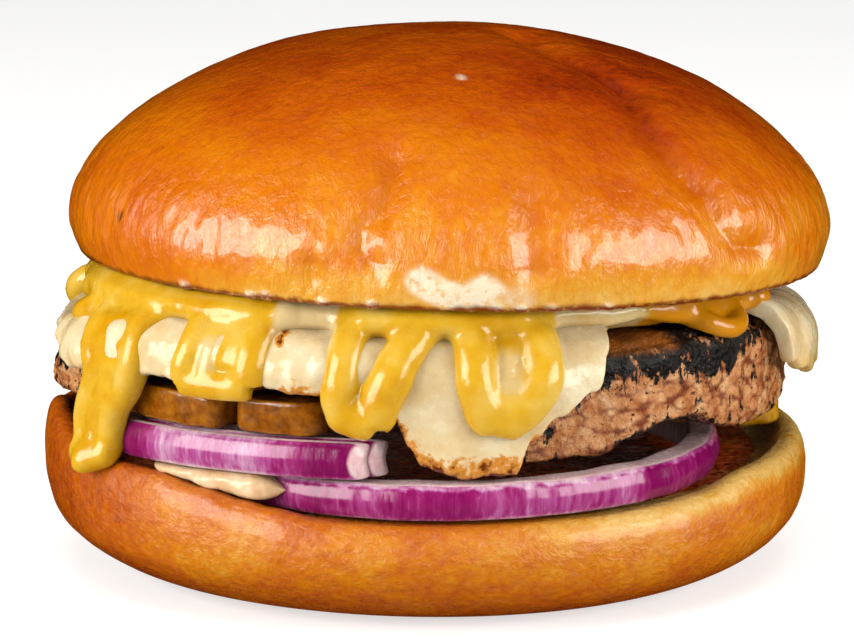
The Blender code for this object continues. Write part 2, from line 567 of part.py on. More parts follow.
def drip_out(height):
    """How far outside the cheese's outline a strand's middle is at a height."""
    low, high, out = SAUCE_DRIP
    return out * eased((high - height) / (high - low)) - SAUCE_SUNK


def tube(route):
    """A tube whose half width follows the route's stops (bearing in degrees, height and half width in mm)."""
    points = smoothed(route)
    curve = bpy.data.curves.new("strand", "CURVE")
    curve.dimensions = "3D"
    curve.bevel_depth = 1.0 * MM
    curve.bevel_resolution = 2
    curve.use_fill_caps = True
    spline = curve.splines.new("POLY")
    spline.points.add(len(points) - 1)
    for slot, (degrees, height, half_width) in zip(spline.points, points):
        bearing = math.radians(degrees)
        place = polar(cover_radius(bearing, height * MM) + drip_out(height * MM), bearing, height * MM)
        slot.co = (*place, 1)
        slot.radius = half_width
    return baked(linked("strand", curve, "sauce"))


def sauce_routes():
    routes = list(SAUCE_STRANDS.values())
    for first, last, lowest in SAUCE_BACK_LOOPS:
        middle = (first + last) / 2
        for side in (first, last):
            lean = middle + (side - middle) * SAUCE_BACK_LEAN
            bearings = (side, side, lean, middle)
            heights = (SAUCE_BACK_TOP, SAUCE_BACK_SHOULDER, (SAUCE_BACK_SHOULDER + lowest) / 2, lowest)
            routes.append(list(zip(bearings, heights, SAUCE_BACK_WIDTHS)))
    return routes


def sauce_pool():
    """The sauce between cheese and crown: a disc with a wavy, rounded edge."""
    unit = 50 * MM
    profile = [(radius, SAUCE_POOL_TOP) for radius in (0, unit * 0.6, unit - 2 * MM)]
    profile += [(unit, height) for height in SAUCE_POOL_EDGE]
    profile += [(radius, SAUCE_POOL_BOTTOM) for radius in (unit - 3 * MM, unit * 0.5, 0)]

    def shape(point):
        wide = by_bearing(SAUCE_POOL_RADIUS, bearing_of(point)) / unit
        return Vector((point.x * wide, point.y * wide, point.z))

    return sculpt(turned("pool", profile, SAUCE_POOL_STEPS, "sauce"), shape)


def joined(name, pieces):
    with bpy.context.temp_override(active_object=pieces[0], selected_editable_objects=pieces):
        bpy.ops.object.join()
    pieces[0].name = name
    return pieces[0]


def fattened(obj, amount):
    """A copy of a piece, grown by amount, to cut clearance with."""
    grown = obj.copy()
    grown.data = obj.data.copy()
    bpy.context.scene.collection.objects.link(grown)
    displace = grown.modifiers.new("Grow", "DISPLACE")
    displace.strength = amount
    displace.mid_level = 0
    return baked(grown)


def cut_away(obj, cutters):
    """Cuts the cutters out of the piece and removes them."""
    for cutter in cutters:
        boolean = obj.modifiers.new("Cut", "BOOLEAN")
        boolean.operation = "DIFFERENCE"
        boolean.solver = "MANIFOLD"  # the exact one leaves slivers of no thickness here
        boolean.object = cutter
        obj = baked(obj)
        bpy.data.objects.remove(cutter, do_unlink=True)
    return obj


def keep_largest(obj):
    """Drops every loose scrap of the mesh but its largest body."""
    shape = bmesh.new()
    shape.from_mesh(obj.data)
    waiting, bodies = set(shape.faces), []
    while waiting:
        front = [waiting.pop()]
        body = set(front)
        while front:
            edges = [edge for edge in front.pop().edges if len(edge.link_faces) == 2]
            found = {face for edge in edges for face in edge.link_faces} & waiting
            waiting -= found
            body |= found
            front += found
        bodies.append(body)
    bodies.sort(key=len)
    scraps = [face for body in bodies[:-1] for face in body]
    bmesh.ops.delete(shape, geom=scraps, context="FACES")
    shape.to_mesh(obj.data)
    shape.free()
    return obj


def sauce(neighbours):
    pieces = [sauce_pool()] + [tube(route) for route in sauce_routes()]
    obj = joined("cheese_sauce", pieces)
    remesh = obj.modifiers.new("Blend", "REMESH")
    remesh.mode = "VOXEL"
    remesh.voxel_size = SAUCE_VOXEL
    smooth = obj.modifiers.new("Smooth", "SMOOTH")
    smooth.factor = 0.5
    smooth.iterations = 3
    thin = obj.modifiers.new("Thin", "DECIMATE")
    thin.ratio = SAUCE_FACES_KEPT
    cutters = [fattened(neighbour, CUT_GAP) for neighbour in neighbours]
    cutters += [patty("patty_cutter", CUT_GAP), cheese("cheese_cutter", CUT_GAP * 1.5)]
    return keep_largest(cut_away(baked(obj), cutters))


def finish(obj):
    obj.data.shade_smooth()
    obj.data.set_sharp_from_angle(angle=math.radians(50))
    group.objects.link(obj)
    bpy.context.scene.collection.objects.unlink(obj)


clear_scene()
group = bpy.data.collections.new("hamburger")
bpy.context.scene.collection.children.link(group)
heel()
crown()
onion_ring()
onion_arcs()
pickles()
topping = sauce(list(bpy.context.scene.collection.objects))
slice_under = cut_away(cheese(), [fattened(topping, GAP)])
cut_away(patty(), [fattened(slice_under, GAP)])
for piece in list(bpy.context.scene.collection.objects):
    finish(piece)
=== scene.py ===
"""Looks of the hamburger: fine shapes, materials, light and camera, in metres and in the frame of its solids.

A bearing is an angle round Z: 0 faces the front, and positive turns to the right, towards +X.
"""

import math

import bpy
import numpy as np
from mathutils import Euler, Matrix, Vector, noise


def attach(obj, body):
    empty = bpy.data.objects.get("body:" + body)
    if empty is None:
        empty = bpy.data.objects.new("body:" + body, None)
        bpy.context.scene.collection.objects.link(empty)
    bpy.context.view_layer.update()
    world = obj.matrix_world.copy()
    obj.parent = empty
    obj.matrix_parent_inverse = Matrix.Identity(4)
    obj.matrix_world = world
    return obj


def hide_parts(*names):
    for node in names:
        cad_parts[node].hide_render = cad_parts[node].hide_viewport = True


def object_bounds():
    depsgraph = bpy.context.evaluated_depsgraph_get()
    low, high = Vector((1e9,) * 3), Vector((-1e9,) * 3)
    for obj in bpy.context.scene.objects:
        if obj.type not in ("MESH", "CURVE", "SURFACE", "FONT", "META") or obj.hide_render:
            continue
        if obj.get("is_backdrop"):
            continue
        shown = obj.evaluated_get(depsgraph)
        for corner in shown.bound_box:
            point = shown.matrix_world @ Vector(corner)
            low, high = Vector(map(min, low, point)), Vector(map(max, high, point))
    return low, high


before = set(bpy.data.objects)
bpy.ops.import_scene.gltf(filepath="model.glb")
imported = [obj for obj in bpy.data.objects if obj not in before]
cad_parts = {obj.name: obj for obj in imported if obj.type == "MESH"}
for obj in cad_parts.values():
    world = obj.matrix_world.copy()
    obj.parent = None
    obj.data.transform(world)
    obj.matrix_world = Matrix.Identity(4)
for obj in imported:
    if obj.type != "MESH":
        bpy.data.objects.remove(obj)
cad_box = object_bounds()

MM = 0.001
TAU = math.tau

# Camera
CAMERA_PLACE = Vector((0.00028, -0.6, 0.146))
CAMERA_AIM = Vector((0.00028, 0.0, 0.0335))
CAMERA_LENS = 178.74

# Light: a surface's colour as a share of the colour that it shows, and how much glare adds to that
LIT = 0.56
GLARE = 0.003

# Heel, with its rim's height by bearing in millimetres
HEEL_BASE_RADIUS = 39.0 * MM
HEEL_RADIUS = 54.8 * MM
HEEL_WIDEST = 11.5 * MM
HEEL_CUT = 15.4 * MM
HEEL_RIM = [(0, 15.6), (28, 15.7), (38, 15.9), (46, 16.3), (58, 17.8), (90, 18.5), (180, 18.0), (235, 19.0),
            (262, 21.2), (275, 23.2), (282, 22.4), (290, 20.8), (300, 19.9), (316, 19.7), (325, 18.6),
            (332, 17.6), (337, 16.9), (344, 15.9), (350, 15.6)]
HEEL_RIM_WIDTH = 6.0 * MM
HEEL_TUCK = 0.035

# Crown
CROWN_RADIUS = 54.4 * MM
CROWN_RISE = 27.2 * MM
CROWN_DROP = 5.2 * MM
CROWN_POWER = 1.9
CROWN_PLACE = Vector((3.6 * MM, 2.5 * MM, 48.7 * MM))
CROWN_TURN = Euler((-0.015, 0.022, 0.0))
# Crumbs on the crown's lower edge, and the pale torn crumb of its front, partly a painted highlight: bearing
# and latitude in degrees
CROWN_CRUMBS = [(-42.3, -11.5), (-30.0, -11.6), (-27.4, -11.2), (-11.3, -11.6), (6.2, -11.6), (9.9, -11.7),
                (14.2, -11.6), (23.0, -11.9), (-18.6, -11.9)]
CROWN_TEAR = [(-4.4, -3.4), (-1.0, -7.2), (2.0, -8.4), (4.6, -5.0)]
# Creases of the crown: a path of bearings and latitudes in degrees, a width and a depth
CROWN_CREASES = [
    ([(45, 52), (42, 45), (39.5, 36), (40, 28), (42.5, 20), (43.5, 10), (46, 4), (51, 3)],
     2.6 * MM, 1.3 * MM),
    ([(-10, 32), (-10, 24), (-11, 17), (-13.8, 13), (-13.5, 7), (-12, 2)], 2.6 * MM, 1.3 * MM),
    ([(11.6, 20), (11.3, 10), (11.2, 1)], 2.6 * MM, 0.9 * MM),
    ([(-20.4, -1), (-20.1, -11)], 2.4 * MM, 0.8 * MM),
    ([(70, 78), (50, 70), (47, 62), (49, 53)], 3.4 * MM, 1.2 * MM),
    ([(-150, 40), (-152, 24), (-146, 8)], 2.8 * MM, 1.1 * MM),
    ([(132, 36), (140, 20), (138, 4)], 2.8 * MM, 1.0 * MM),
]

# Patty: rim radius and heights by bearing, in millimetres
PATTY_RADIUS = [(0, 49.2), (20, 50.0), (45, 52.4), (75, 53.4), (90, 53.2), (120, 51.0), (180, 50.5),
                (240, 51.8), (262, 54.6), (280, 54.4), (300, 51.0), (320, 50.3), (340, 49.3)]
PATTY_TOP = [(0, 37.8), (14, 37.0), (26, 37.8), (38, 38.8), (52, 39.0), (66, 38.0), (80, 36.2), (90, 35.0),
             (115, 35.6), (150, 36.4), (220, 36.2), (245, 35.2), (262, 32.2), (272, 31.4), (282, 33.4),
             (297, 37.0), (320, 38.2)]
PATTY_BOTTOM = [(0, 30.4), (8, 24.8), (14, 21.8), (29, 22.0), (34, 24.2), (40, 25.8), (47, 25.8),
                (53, 23.7), (60, 22.6), (70, 22.9), (80, 24.4), (97, 24.5), (106, 22.8), (120, 20.9),
                (132, 21.3), (142, 22.2), (210, 22.2), (226, 21.0), (242, 20.6), (256, 22.2), (266, 23.4),
                (276, 24.4), (287, 25.0), (295, 26.0), (304, 31.4), (312, 31.8), (355, 31.8)]
# The height down to which the patty is charred, at the bearings where the cheese leaves it bare
PATTY_CHAR = [(10, 30.0), (14, 31.0), (27, 32.3), (32, 33.5), (39, 33.6), (46.5, 32.6), (55.4, 32.1),
              (58, 34.0), (64, 36.0), (76, 38.0)]
PATTY_CENTRE = (23.4 * MM, 38.2 * MM)
PATTY_SHOULDER = 4.0 * MM
PATTY_UNDER_ROUND = 0.55

# Cheese slice: how far it runs past the start of the patty's shoulder, by bearing, in millimetres
CHEESE_THICK = 2.4 * MM
CHEESE_LIFT = 0.7 * MM
CHEESE_REACH = [(2.6, 19.0), (10, 18.9), (13.2, 18.4), (15.5, 13.8), (20, 11.4), (25.5, 8.4), (28, 4.4),
                (31, -0.6), (36, -3.2), (45, -3.6), (59, -2.6), (62.5, -1.0), (66.5, 10.0), (71, 10.8),
                (91, 10.8), (99, 9.6), (110, 4.0), (125, -1.5), (145, 0.5), (164, 8.0), (176, 14.0),
                (188, 13.0), (200, 6.0), (222, 0.0), (245, 1.0), (262, 1.4), (282, 1.8), (298, 8.8),
                (312, 9.4), (322, 9.6), (332, 8.4), (344, 9.8), (353, 10.4), (355.5, 12.4), (357.6, 16.0),
                (359.6, 18.2)]

# Onion
ONION_WALL = 4.6 * MM
ONION_RING_CENTRE = np.array([4.0 * MM, -15.5 * MM, 16.2 * MM])
ONION_RING_RADIUS = 37.5 * MM
ONION_RING_HEIGHT = 4.9 * MM
ONION_RING_LEAN = 0.011
ONION_LAYER = 2.3 * MM
ONION_ARC_HEIGHT = 5.1 * MM
ONION_BIAS = 0.09
ONION_GAP = 0.3 * MM
# Arcs: the bearings of both ends, and the outer radius
LEFT_ARC = (-64.0, -10.5, 52.2 * MM)
BACK_ARC = (138.0, 214.0, 48.4 * MM)
LEFT_ARC_LEVEL = 21.3 * MM
LEFT_ARC_FALL = 0.9 * MM
BACK_ARC_LEVEL = 16.2 * MM

# Pickle chips: bearing and radius of the middle, half width and depth, underside, tilt outwards, thickness
PICKLE_POWER = 3.4
PICKLES = {
    "pickle_front_left": (-43.5, 47.0, 8.9, 4.0, 26.4, 0.0, 4.5),
    "pickle_front_middle": (-23.4, 47.0, 6.6, 4.0, 26.7, 0.0, 4.5),
    "pickle_right": (94.4, 46.0, 7.2, 5.4, 18.6, 3.0, 4.4),
    "pickle_back": (242.0, 40.0, 8.0, 8.0, 15.9, 0.0, 3.7),
}

# Cheese sauce: a pool under the crown, and strands (bearing, height, half width) that run over the edge
SAUCE_POOL_RADIUS = [(0, 50.5), (14, 50.4), (24, 48.4), (36, 48.2), (44, 49.6), (60, 49.8), (76, 48.0),
                     (90, 47.0), (135, 46.0), (180, 48.5), (225, 46.0), (270, 48.0), (300, 51.0), (326, 50.6),
                     (337, 50.0), (341, 48.2), (346, 48.4), (350, 50.2)]
SAUCE_POOL_BOTTOM = 39.2 * MM
SAUCE_POOL_TOP = 44.6 * MM
SAUCE_POOL_EDGE = (43.0 * MM, 41.4 * MM)
SAUCE_SUNK = 0.3 * MM
# Where little cheese lies under the sauce: first and last bearing, soft edge, and the share that is missing
SAUCE_BARE = (36, 60, 6, 0.9)
# Drips hang clear of the food: all the way out at the first height, not at all at the second, and how far
SAUCE_DRIP = (18.5 * MM, 22.5 * MM, 2.6 * MM)
SAUCE_VOXEL = 0.55 * MM
SAUCE_SMOOTHING = 6
SAUCE_STRANDS = {
    "left_outer": [(-56.5, 43.2, 2.4), (-58.4, 39.6, 2.3), (-58.4, 36.7, 2.0), (-57.8, 34.6, 2.0),
        (-57.1, 31.9, 2.0), (-58.5, 29.0, 2.0), (-59.5, 26.0, 2.1), (-59.5, 22.8, 2.2), (-58.6, 20.4, 2.2),
        (-57.9, 19.2, 1.3)],
    "left_middle": [(-52.7, 40.6, 2.2), (-52.7, 37.6, 1.6), (-52.5, 35.4, 1.6), (-52.3, 32.6, 1.7),
        (-53.7, 29.8, 2.0), (-55.7, 26.7, 2.1), (-56.1, 23.4, 2.3), (-56.2, 20.6, 2.6), (-56.4, 18.9, 2.0),
        (-56.4, 18.0, 0.8)],
    "left_inner": [(-47.0, 43.4, 2.4), (-47.8, 40.5, 2.3), (-47.9, 38.3, 2.3), (-47.7, 36.1, 2.3),
        (-47.9, 33.3, 2.3), (-49.4, 30.4, 2.3), (-52.2, 27.2, 2.2), (-53.3, 23.8, 2.2), (-54.0, 20.9, 2.2),
        (-54.6, 19.6, 1.3)],
    "left_lobe": [(-50.3, 43.6, 2.5), (-57, 43.2, 2.6), (-64, 42.4, 2.7), (-70, 41.4, 2.4),
        (-73, 40.8, 1.4)],
    "left_lobe_low": [(-48, 41.2, 2.2), (-55, 41.0, 2.4), (-62, 39.6, 2.5), (-67, 38.4, 2.0),
        (-69, 38.0, 1.0)],
    "left_fill": [(-60, 37.6, 2.2), (-54, 38.6, 2.0), (-48, 39.4, 2.0), (-41.7, 43.0, 2.2)],
    "left_sheet": [(-59.5, 35.6, 1.8), (-54, 36.0, 1.7), (-48.5, 36.4, 1.9)],
    "left_sheet_low": [(-58.5, 33.4, 1.8), (-54, 33.2, 1.7), (-48.5, 33.6, 1.9)],
    "left_sheet_top": [(-57, 37.4, 1.6), (-53, 37.6, 1.7), (-49.5, 38, 1.6)],
    "second_left": [(-37.5, 43.8, 2.2), (-36.8, 42.0, 2.2), (-36.5, 40.2, 2.2), (-36.7, 37.5, 2.1),
        (-37.4, 34.9, 2.1), (-37.5, 33.0, 2.0)],
    "second_right": [(-25.7, 44.0, 2.6), (-26.2, 41.5, 2.6), (-26.4, 38.5, 2.6), (-26.5, 35.8, 2.6),
        (-26.6, 33.6, 2.4)],
    "second_inner": [(-29.6, 43.6, 2.2), (-29.2, 41.2, 2.2), (-29.3, 38.3, 2.0), (-29.6, 35.6, 2.0)],
    "second_middle": [(-34.0, 43.6, 2.3), (-33.3, 42.3, 2.3), (-32.7, 40.8, 2.1)],
    "second_film": [(-32.9, 39.6, 1.6), (-33.2, 36.8, 1.4), (-33.3, 34.2, 1.6)],
    "second_band": [(-37.8, 32.8, 1.9), (-32, 32.9, 2.0), (-26.6, 33.2, 2.1)],
    "middle_left": [(-11.6, 43.2, 2.6), (-11.6, 41.7, 2.6), (-11.9, 38.2, 2.6), (-12.2, 35.4, 2.6),
        (-12.7, 32.6, 2.6), (-12.4, 30.9, 2.4)],
    "middle_right": [(3.4, 42.4, 2.9), (0.8, 41.4, 2.9), (-1.5, 39.8, 2.9), (-3.9, 37.3, 2.9),
        (-4.9, 35.4, 3.0), (-6.2, 32.6, 2.9), (-6.9, 30.4, 2.8), (-7.6, 29.6, 2.5)],
    "middle_foot": [(-14.2, 31.0, 1.2), (-12.9, 30.5, 2.3), (-10.2, 29.7, 2.5), (-7.9, 29.1, 2.4),
        (-7.0, 28.9, 1.2)],
    "front_left": [(7.2, 42.4, 3.0), (7.3, 38.3, 2.9), (7.3, 34.7, 2.9), (8.0, 32.6, 2.9), (8.9, 30.4, 2.8),
        (10.2, 28.9, 2.4)],
    "front_right": [(16.5, 42.4, 3.1), (17.5, 40.1, 3.0), (17.6, 37.9, 3.0), (17.3, 35.4, 3.1),
        (15.7, 32.8, 3.1), (14.0, 30.7, 2.9), (12.3, 29.2, 2.6), (11.0, 28.4, 2.3), (10.6, 27.4, 1.4)],
    "front_foot": [(9.4, 31.6, 2.4), (12.4, 31.4, 2.4), (10.9, 29.6, 2.4)],
    "front_film": [(12.4, 40.2, 2.0), (12.5, 37.2, 1.4), (11.8, 33.6, 1.5)],
    "front_band": [(-12.3, 43.0, 2.3), (-6.1, 42.6, 2.4), (0.7, 42.0, 2.4), (7.5, 42.0, 2.4),
        (13.0, 41.8, 2.5), (18.7, 42.4, 2.3)],
    "front_melt": [(20, 42.4, 2.2), (26, 41.8, 2.0), (32, 41.8, 1.8), (37, 42.2, 1.5)],
    "right_stain": [(38, 42.2, 1.5), (44, 41.2, 1.8), (50, 40.4, 1.8), (57, 40.2, 1.9), (64, 40.6, 1.8),
        (69, 41.2, 1.5)],
    "right_drip": [(48, 40.4, 1.6), (51, 38.7, 1.5), (55, 38.3, 1.6), (59, 39.4, 1.5)],
}
# Loops at the back: the bearings of both sides, and the lowest height in millimetres
SAUCE_BACK_LOOPS = [(128, 146, 31.0), (166, 186, 27.5), (206, 222, 30.5), (238, 252, 32.5)]

# Mayonnaise smear, between the heel's rim and the left arc
SMEAR_SPAN = (-48, -22)
SMEAR_RADIUS = 49.6 * MM
SMEAR_HALF_WIDTH = 2.9 * MM

# Studio
FLOOR_REACH = 6.0
FLOOR_GLOW = 0.6
WORLD_STRENGTH = 0.35
LAMP_COLOUR = (1.0, 0.97, 0.9)
LAMP_AIM = Vector((0, 0, 0.04))
# Each softbox: bearing and angle above the floor, distance, width, height, watts, whether gloss mirrors it
SOFTBOXES = {
    "left_box": (-60, 16, 0.62, 0.46, 0.38, 6.1, True),
    "right_box": (60, 15, 0.62, 0.48, 0.32, 4.7, True),
    "top_box": (0, 80, 0.9, 0.8, 0.6, 6.5, False),
}


# Numbers

def eased(share):
    share = np.clip(share, 0.0, 1.0)
    return share * share * (3 - 2 * share)


def band(value, low, high, soft):
    """1 from low to high, easing to 0 over soft on each side."""
    return eased((value - low) / soft + 1) * eased((high - value) / soft + 1)


def by_bearing(stops, bearing):
    """Values that ease from stop to stop all the way round. A stop is (degrees, millimetres)."""
    degrees = np.degrees(bearing) % 360
    angles = np.array([stop[0] for stop in stops], float)
    values = np.array([stop[1] for stop in stops], float)
    later = np.searchsorted(angles, degrees, side="right")
    start, low = angles[later - 1], values[later - 1]
    end, high = angles[later % len(stops)], values[later % len(stops)]
    span = (end - start) % 360
    span = np.where(span == 0, 360, span)
    return (low + (high - low) * eased(((degrees - start) % 360) / span)) * MM


def turned_by(bearing, other):
    """The signed angle from other to bearing, in degrees."""
    return (np.degrees(bearing) - other + 180) % 360 - 180


def polar(radius, bearing, height):
    """Points at these distances from Z, bearings and heights."""
    radius, bearing, height = np.broadcast_arrays(radius, bearing, height)
    return np.stack([radius * np.sin(bearing), -radius * np.cos(bearing), height], axis=-1)


def bearing_of(points):
    return np.arctan2(points[..., 0], -points[..., 1])


def lumps(points, size, stretch=(1, 1, 1), seed=0.0):
    """Smooth noise from -1 to 1, with bumps about size across, or stretch times that along each axis."""
    scaled = points / (size * np.array(stretch, float)) + seed
    flat = [noise.noise(place) for place in scaled.reshape(-1, 3).tolist()]
    return np.array(flat).reshape(points.shape[:-1])


def hills(points, size, stretch=(1, 1, 1), seed=0.0):
    """The same noise from 0 to 1."""
    return 0.5 + 0.5 * lumps(points, size, stretch, seed)


def oval(across, up, middle, reach, power):
    """1 at the middle of an oval, falling to 0 past its reach."""
    return np.exp(-(((across - middle[0]) / reach[0]) ** power + ((up - middle[1]) / reach[1]) ** power))


def distance_to_path(points, path):
    best = np.full(points.shape[:-1], 1.0)
    for start, end in zip(path, path[1:]):
        along = end - start
        share = np.clip((points - start) @ along / max(along @ along, 1e-12), 0, 1)
        best = np.minimum(best, np.linalg.norm(points - start - share[..., None] * along, axis=-1))
    return best


def quarter(start, end, count, power=2.0):
    """A rounded quarter's points after start, where it runs level, up to end, where it runs upright."""
    points = []
    for i in range(1, count + 1):
        turn = i / count * math.pi / 2
        out, down = math.sin(turn) ** (2 / power), math.cos(turn) ** (2 / power)
        points.append((start[0] + (end[0] - start[0]) * out, end[1] + (start[1] - end[1]) * down))
    return points


def columns(profile):
    """The radii and the heights of a profile, each as one column."""
    return (np.array(values)[:, None] for values in zip(*profile))


def all_round(count):
    """Bearings all the way round, as one row."""
    return np.linspace(0, TAU, count, endpoint=False)[None, :]


# Meshes

def linked(name, data):
    obj = bpy.data.objects.new(name, data)
    bpy.context.scene.collection.objects.link(obj)
    return obj


def mesh_object(name, points, faces):
    mesh = bpy.data.meshes.new(name)
    mesh.from_pydata(points.tolist(), [], faces)
    mesh.update()
    mesh.shade_smooth()
    return linked(name, mesh)


def paint(obj, **layers):
    """Stores each layer, one number for each vertex, for the materials to read."""
    for name, values in layers.items():
        values = np.asarray(values, np.float32).reshape(-1)
        layer = obj.data.attributes.new(name, "FLOAT", "POINT")
        layer.data.foreach_set("value", values)


def turned_skin(name, rows, **layers):
    """A closed skin from rows of points round Z, top first. The first and last rows are poles."""
    count, around = rows.shape[:2]
    points = np.concatenate([rows[0, :1], rows[1:-1].reshape(-1, 3), rows[-1, :1]])
    last = len(points) - 1
    faces = []
    for i in range(around):
        after = (i + 1) % around
        faces.append((0, 1 + i, 1 + after))
        faces.append((last, last - around + after, last - around + i))
    for row in range(count - 3):
        start, below = 1 + row * around, 1 + (row + 1) * around
        faces += [(start + i, below + i, below + (i + 1) % around, start + (i + 1) % around)
                  for i in range(around)]
    obj = mesh_object(name, points, faces)
    flat = {key: np.concatenate([value[0, :1], value[1:-1].reshape(-1), value[-1, :1]])
            for key, value in layers.items()}
    paint(obj, **flat)
    return obj


def swept_skin(name, sections, closed, **layers):
    """A closed skin from sections, each a loop of points: a ring if closed, or else with capped ends."""
    count, around = sections.shape[:2]
    points = sections.reshape(-1, 3)
    faces = []
    for row in range(count if closed else count - 1):
        start, below = row * around, (row + 1) % count * around
        faces += [(start + i, start + (i + 1) % around, below + (i + 1) % around, below + i)
                  for i in range(around)]
    flat = {key: value.reshape(-1) for key, value in layers.items()}
    if not closed:
        centres = len(points)
        points = np.concatenate([points, sections[:1].mean(axis=1), sections[-1:].mean(axis=1)])
        faces += [(centres, (i + 1) % around, i) for i in range(around)]
        end = (count - 1) * around
        faces += [(centres + 1, end + i, end + (i + 1) % around) for i in range(around)]
        flat = {key: np.concatenate([value, [0.0, 0.0]]) for key, value in flat.items()}
    obj = mesh_object(name, points, faces)
    paint(obj, **flat)
    return obj


def with_modifiers_applied(obj):
    bpy.context.view_layer.update()
    graph = bpy.context.evaluated_depsgraph_get()
    mesh = bpy.data.meshes.new_from_object(obj.evaluated_get(graph))
    obj.modifiers.clear()
    obj.data = mesh
    return obj


def places(obj):
    """The mesh's points, one row for each."""
    flat = np.empty(len(obj.data.vertices) * 3)
    obj.data.vertices.foreach_get("co", flat)
    return flat.reshape(-1, 3)


def place_at(obj, points):
    obj.data.vertices.foreach_set("co", points.reshape(-1))
    obj.data.update()


def normals(obj):
    flat = np.empty(len(obj.data.vertices) * 3)
    obj.data.vertex_normals.foreach_get("vector", flat)
    return flat.reshape(-1, 3)


def facing_out(obj):
    """Turns the faces round if the closed mesh is inside out."""
    obj.data.calc_loop_triangles()
    corners = np.empty(len(obj.data.loop_triangles) * 3, np.int32)
    obj.data.loop_triangles.foreach_get("vertices", corners)
    a, b, c = places(obj)[corners.reshape(-1, 3)].transpose(1, 0, 2)
    if np.einsum("ij,ij->i", a, np.cross(b, c)).sum() < 0:
        obj.data.flip_normals()
    return obj


def stands_for(obj, slot, *nodes, look=None):
    """Gives the piece the material for its slot or look, puts it under body root, and hides the nodes it
    stands in for.
    """
    facing_out(obj)
    obj.data.materials.clear()
    obj.data.materials.append(MATERIALS[look or slot])
    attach(obj, "root")
    if nodes:
        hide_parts(*nodes)
    return obj


# Materials

def srgb(red, green, blue, gain=LIT):
    """The surface colour that shows as this colour, from 0 to 255, where the studio's light falls on it."""
    linear = [max((value / 255) ** 2.2 - GLARE, 0.001) * gain for value in (red, green, blue)]
    return (*linear, 1.0)


class Shader:
    """A node material under construction."""

    def __init__(self, name, **values):
        self.made = bpy.data.materials.new(name)
        self.made.use_nodes = True
        self.tree = self.made.node_tree
        self.surface = self.tree.nodes["Principled BSDF"]
        self.coordinates = self.tree.nodes.new("ShaderNodeTexCoord").outputs["Object"]
        for key, value in values.items():
            self.put(self.surface, key.replace("_", " "), value)

    def put(self, node, key, value):
        socket = node.inputs[key]
        if isinstance(value, bpy.types.NodeSocket):
            self.tree.links.new(value, socket)
        else:
            socket.default_value = value

    def add(self, kind, inputs, **settings):
        node = self.tree.nodes.new(kind)
        for key, value in settings.items():
            setattr(node, key, value)
        for key, value in inputs.items():
            self.put(node, key, value)
        return node

    def layer(self, name):
        return self.add("ShaderNodeAttribute", {}, attribute_name=name).outputs["Fac"]

    def stretched(self, stretch):
        scale = tuple(1 / value for value in stretch)
        return self.add("ShaderNodeMapping", {"Vector": self.coordinates, "Scale": scale}).outputs["Vector"]

    def noise(self, size, detail=4.0, rough=0.55, bend=0.0, stretch=(1, 1, 1)):
        inputs = {"Vector": self.stretched(stretch), "Scale": 1 / size, "Detail": detail,
                  "Roughness": rough, "Distortion": bend}
        return self.add("ShaderNodeTexNoise", inputs).outputs["Fac"]

    def cells(self, size, feature="F1", stretch=(1, 1, 1)):
        inputs = {"Vector": self.stretched(stretch), "Scale": 1 / size}
        return self.add("ShaderNodeTexVoronoi", inputs, feature=feature).outputs["Distance"]

    def remap(self, value, low, high, to_low=0.0, to_high=1.0):
        inputs = {"Value": value, "From Min": low, "From Max": high, "To Min": to_low, "To Max": to_high}
        return self.add("ShaderNodeMapRange", inputs, interpolation_type="SMOOTHSTEP").outputs["Result"]

    def math(self, operation, a, b=0.0):
        node = self.add("ShaderNodeMath", {}, operation=operation)
        self.put(node, 0, a)
        self.put(node, 1, b)
        return node.outputs[0]

    def vary(self, spread, least, most):
        """A noise, whose values mostly lie from 0.3 to 0.7, brought to this range."""
        return self.remap(spread, 0.3, 0.7, least, most)

    def total(self, value, *others):
        for other in others:
            value = self.math("ADD", value, other)
        return value

    def mix(self, share, a, b):
        node = self.add("ShaderNodeMix", {}, data_type="RGBA")
        self.put(node, 0, share)
        self.put(node, 6, a)
        self.put(node, 7, b)
        return node.outputs[2]

    def ramp(self, value, stops):
        node = self.add("ShaderNodeValToRGB", {"Fac": value})
        points = node.color_ramp.elements
        while len(points) < len(stops):
            points.new(1.0)
        for point, (position, colour) in zip(points, stops):
            point.position = position
            point.color = colour
        return node.outputs["Color"]

    def shades(self, value, *stops):
        """A colour for each value, from stops of a position and a red, green and blue from 0 to 255."""
        return self.ramp(value, [(position, srgb(*colour)) for position, *colour in stops])

    def bump(self, height, depth, below=None):
        inputs = {"Height": height, "Distance": depth, "Strength": 1.0}
        if below is not None:
            inputs["Normal"] = below
        return self.add("ShaderNodeBump", inputs).outputs["Normal"]

    def finish(self, colour, roughness, normal):
        self.put(self.surface, "Base Color", colour)
        self.put(self.surface, "Roughness", roughness)
        self.put(self.surface, "Normal", normal)
        return self.made


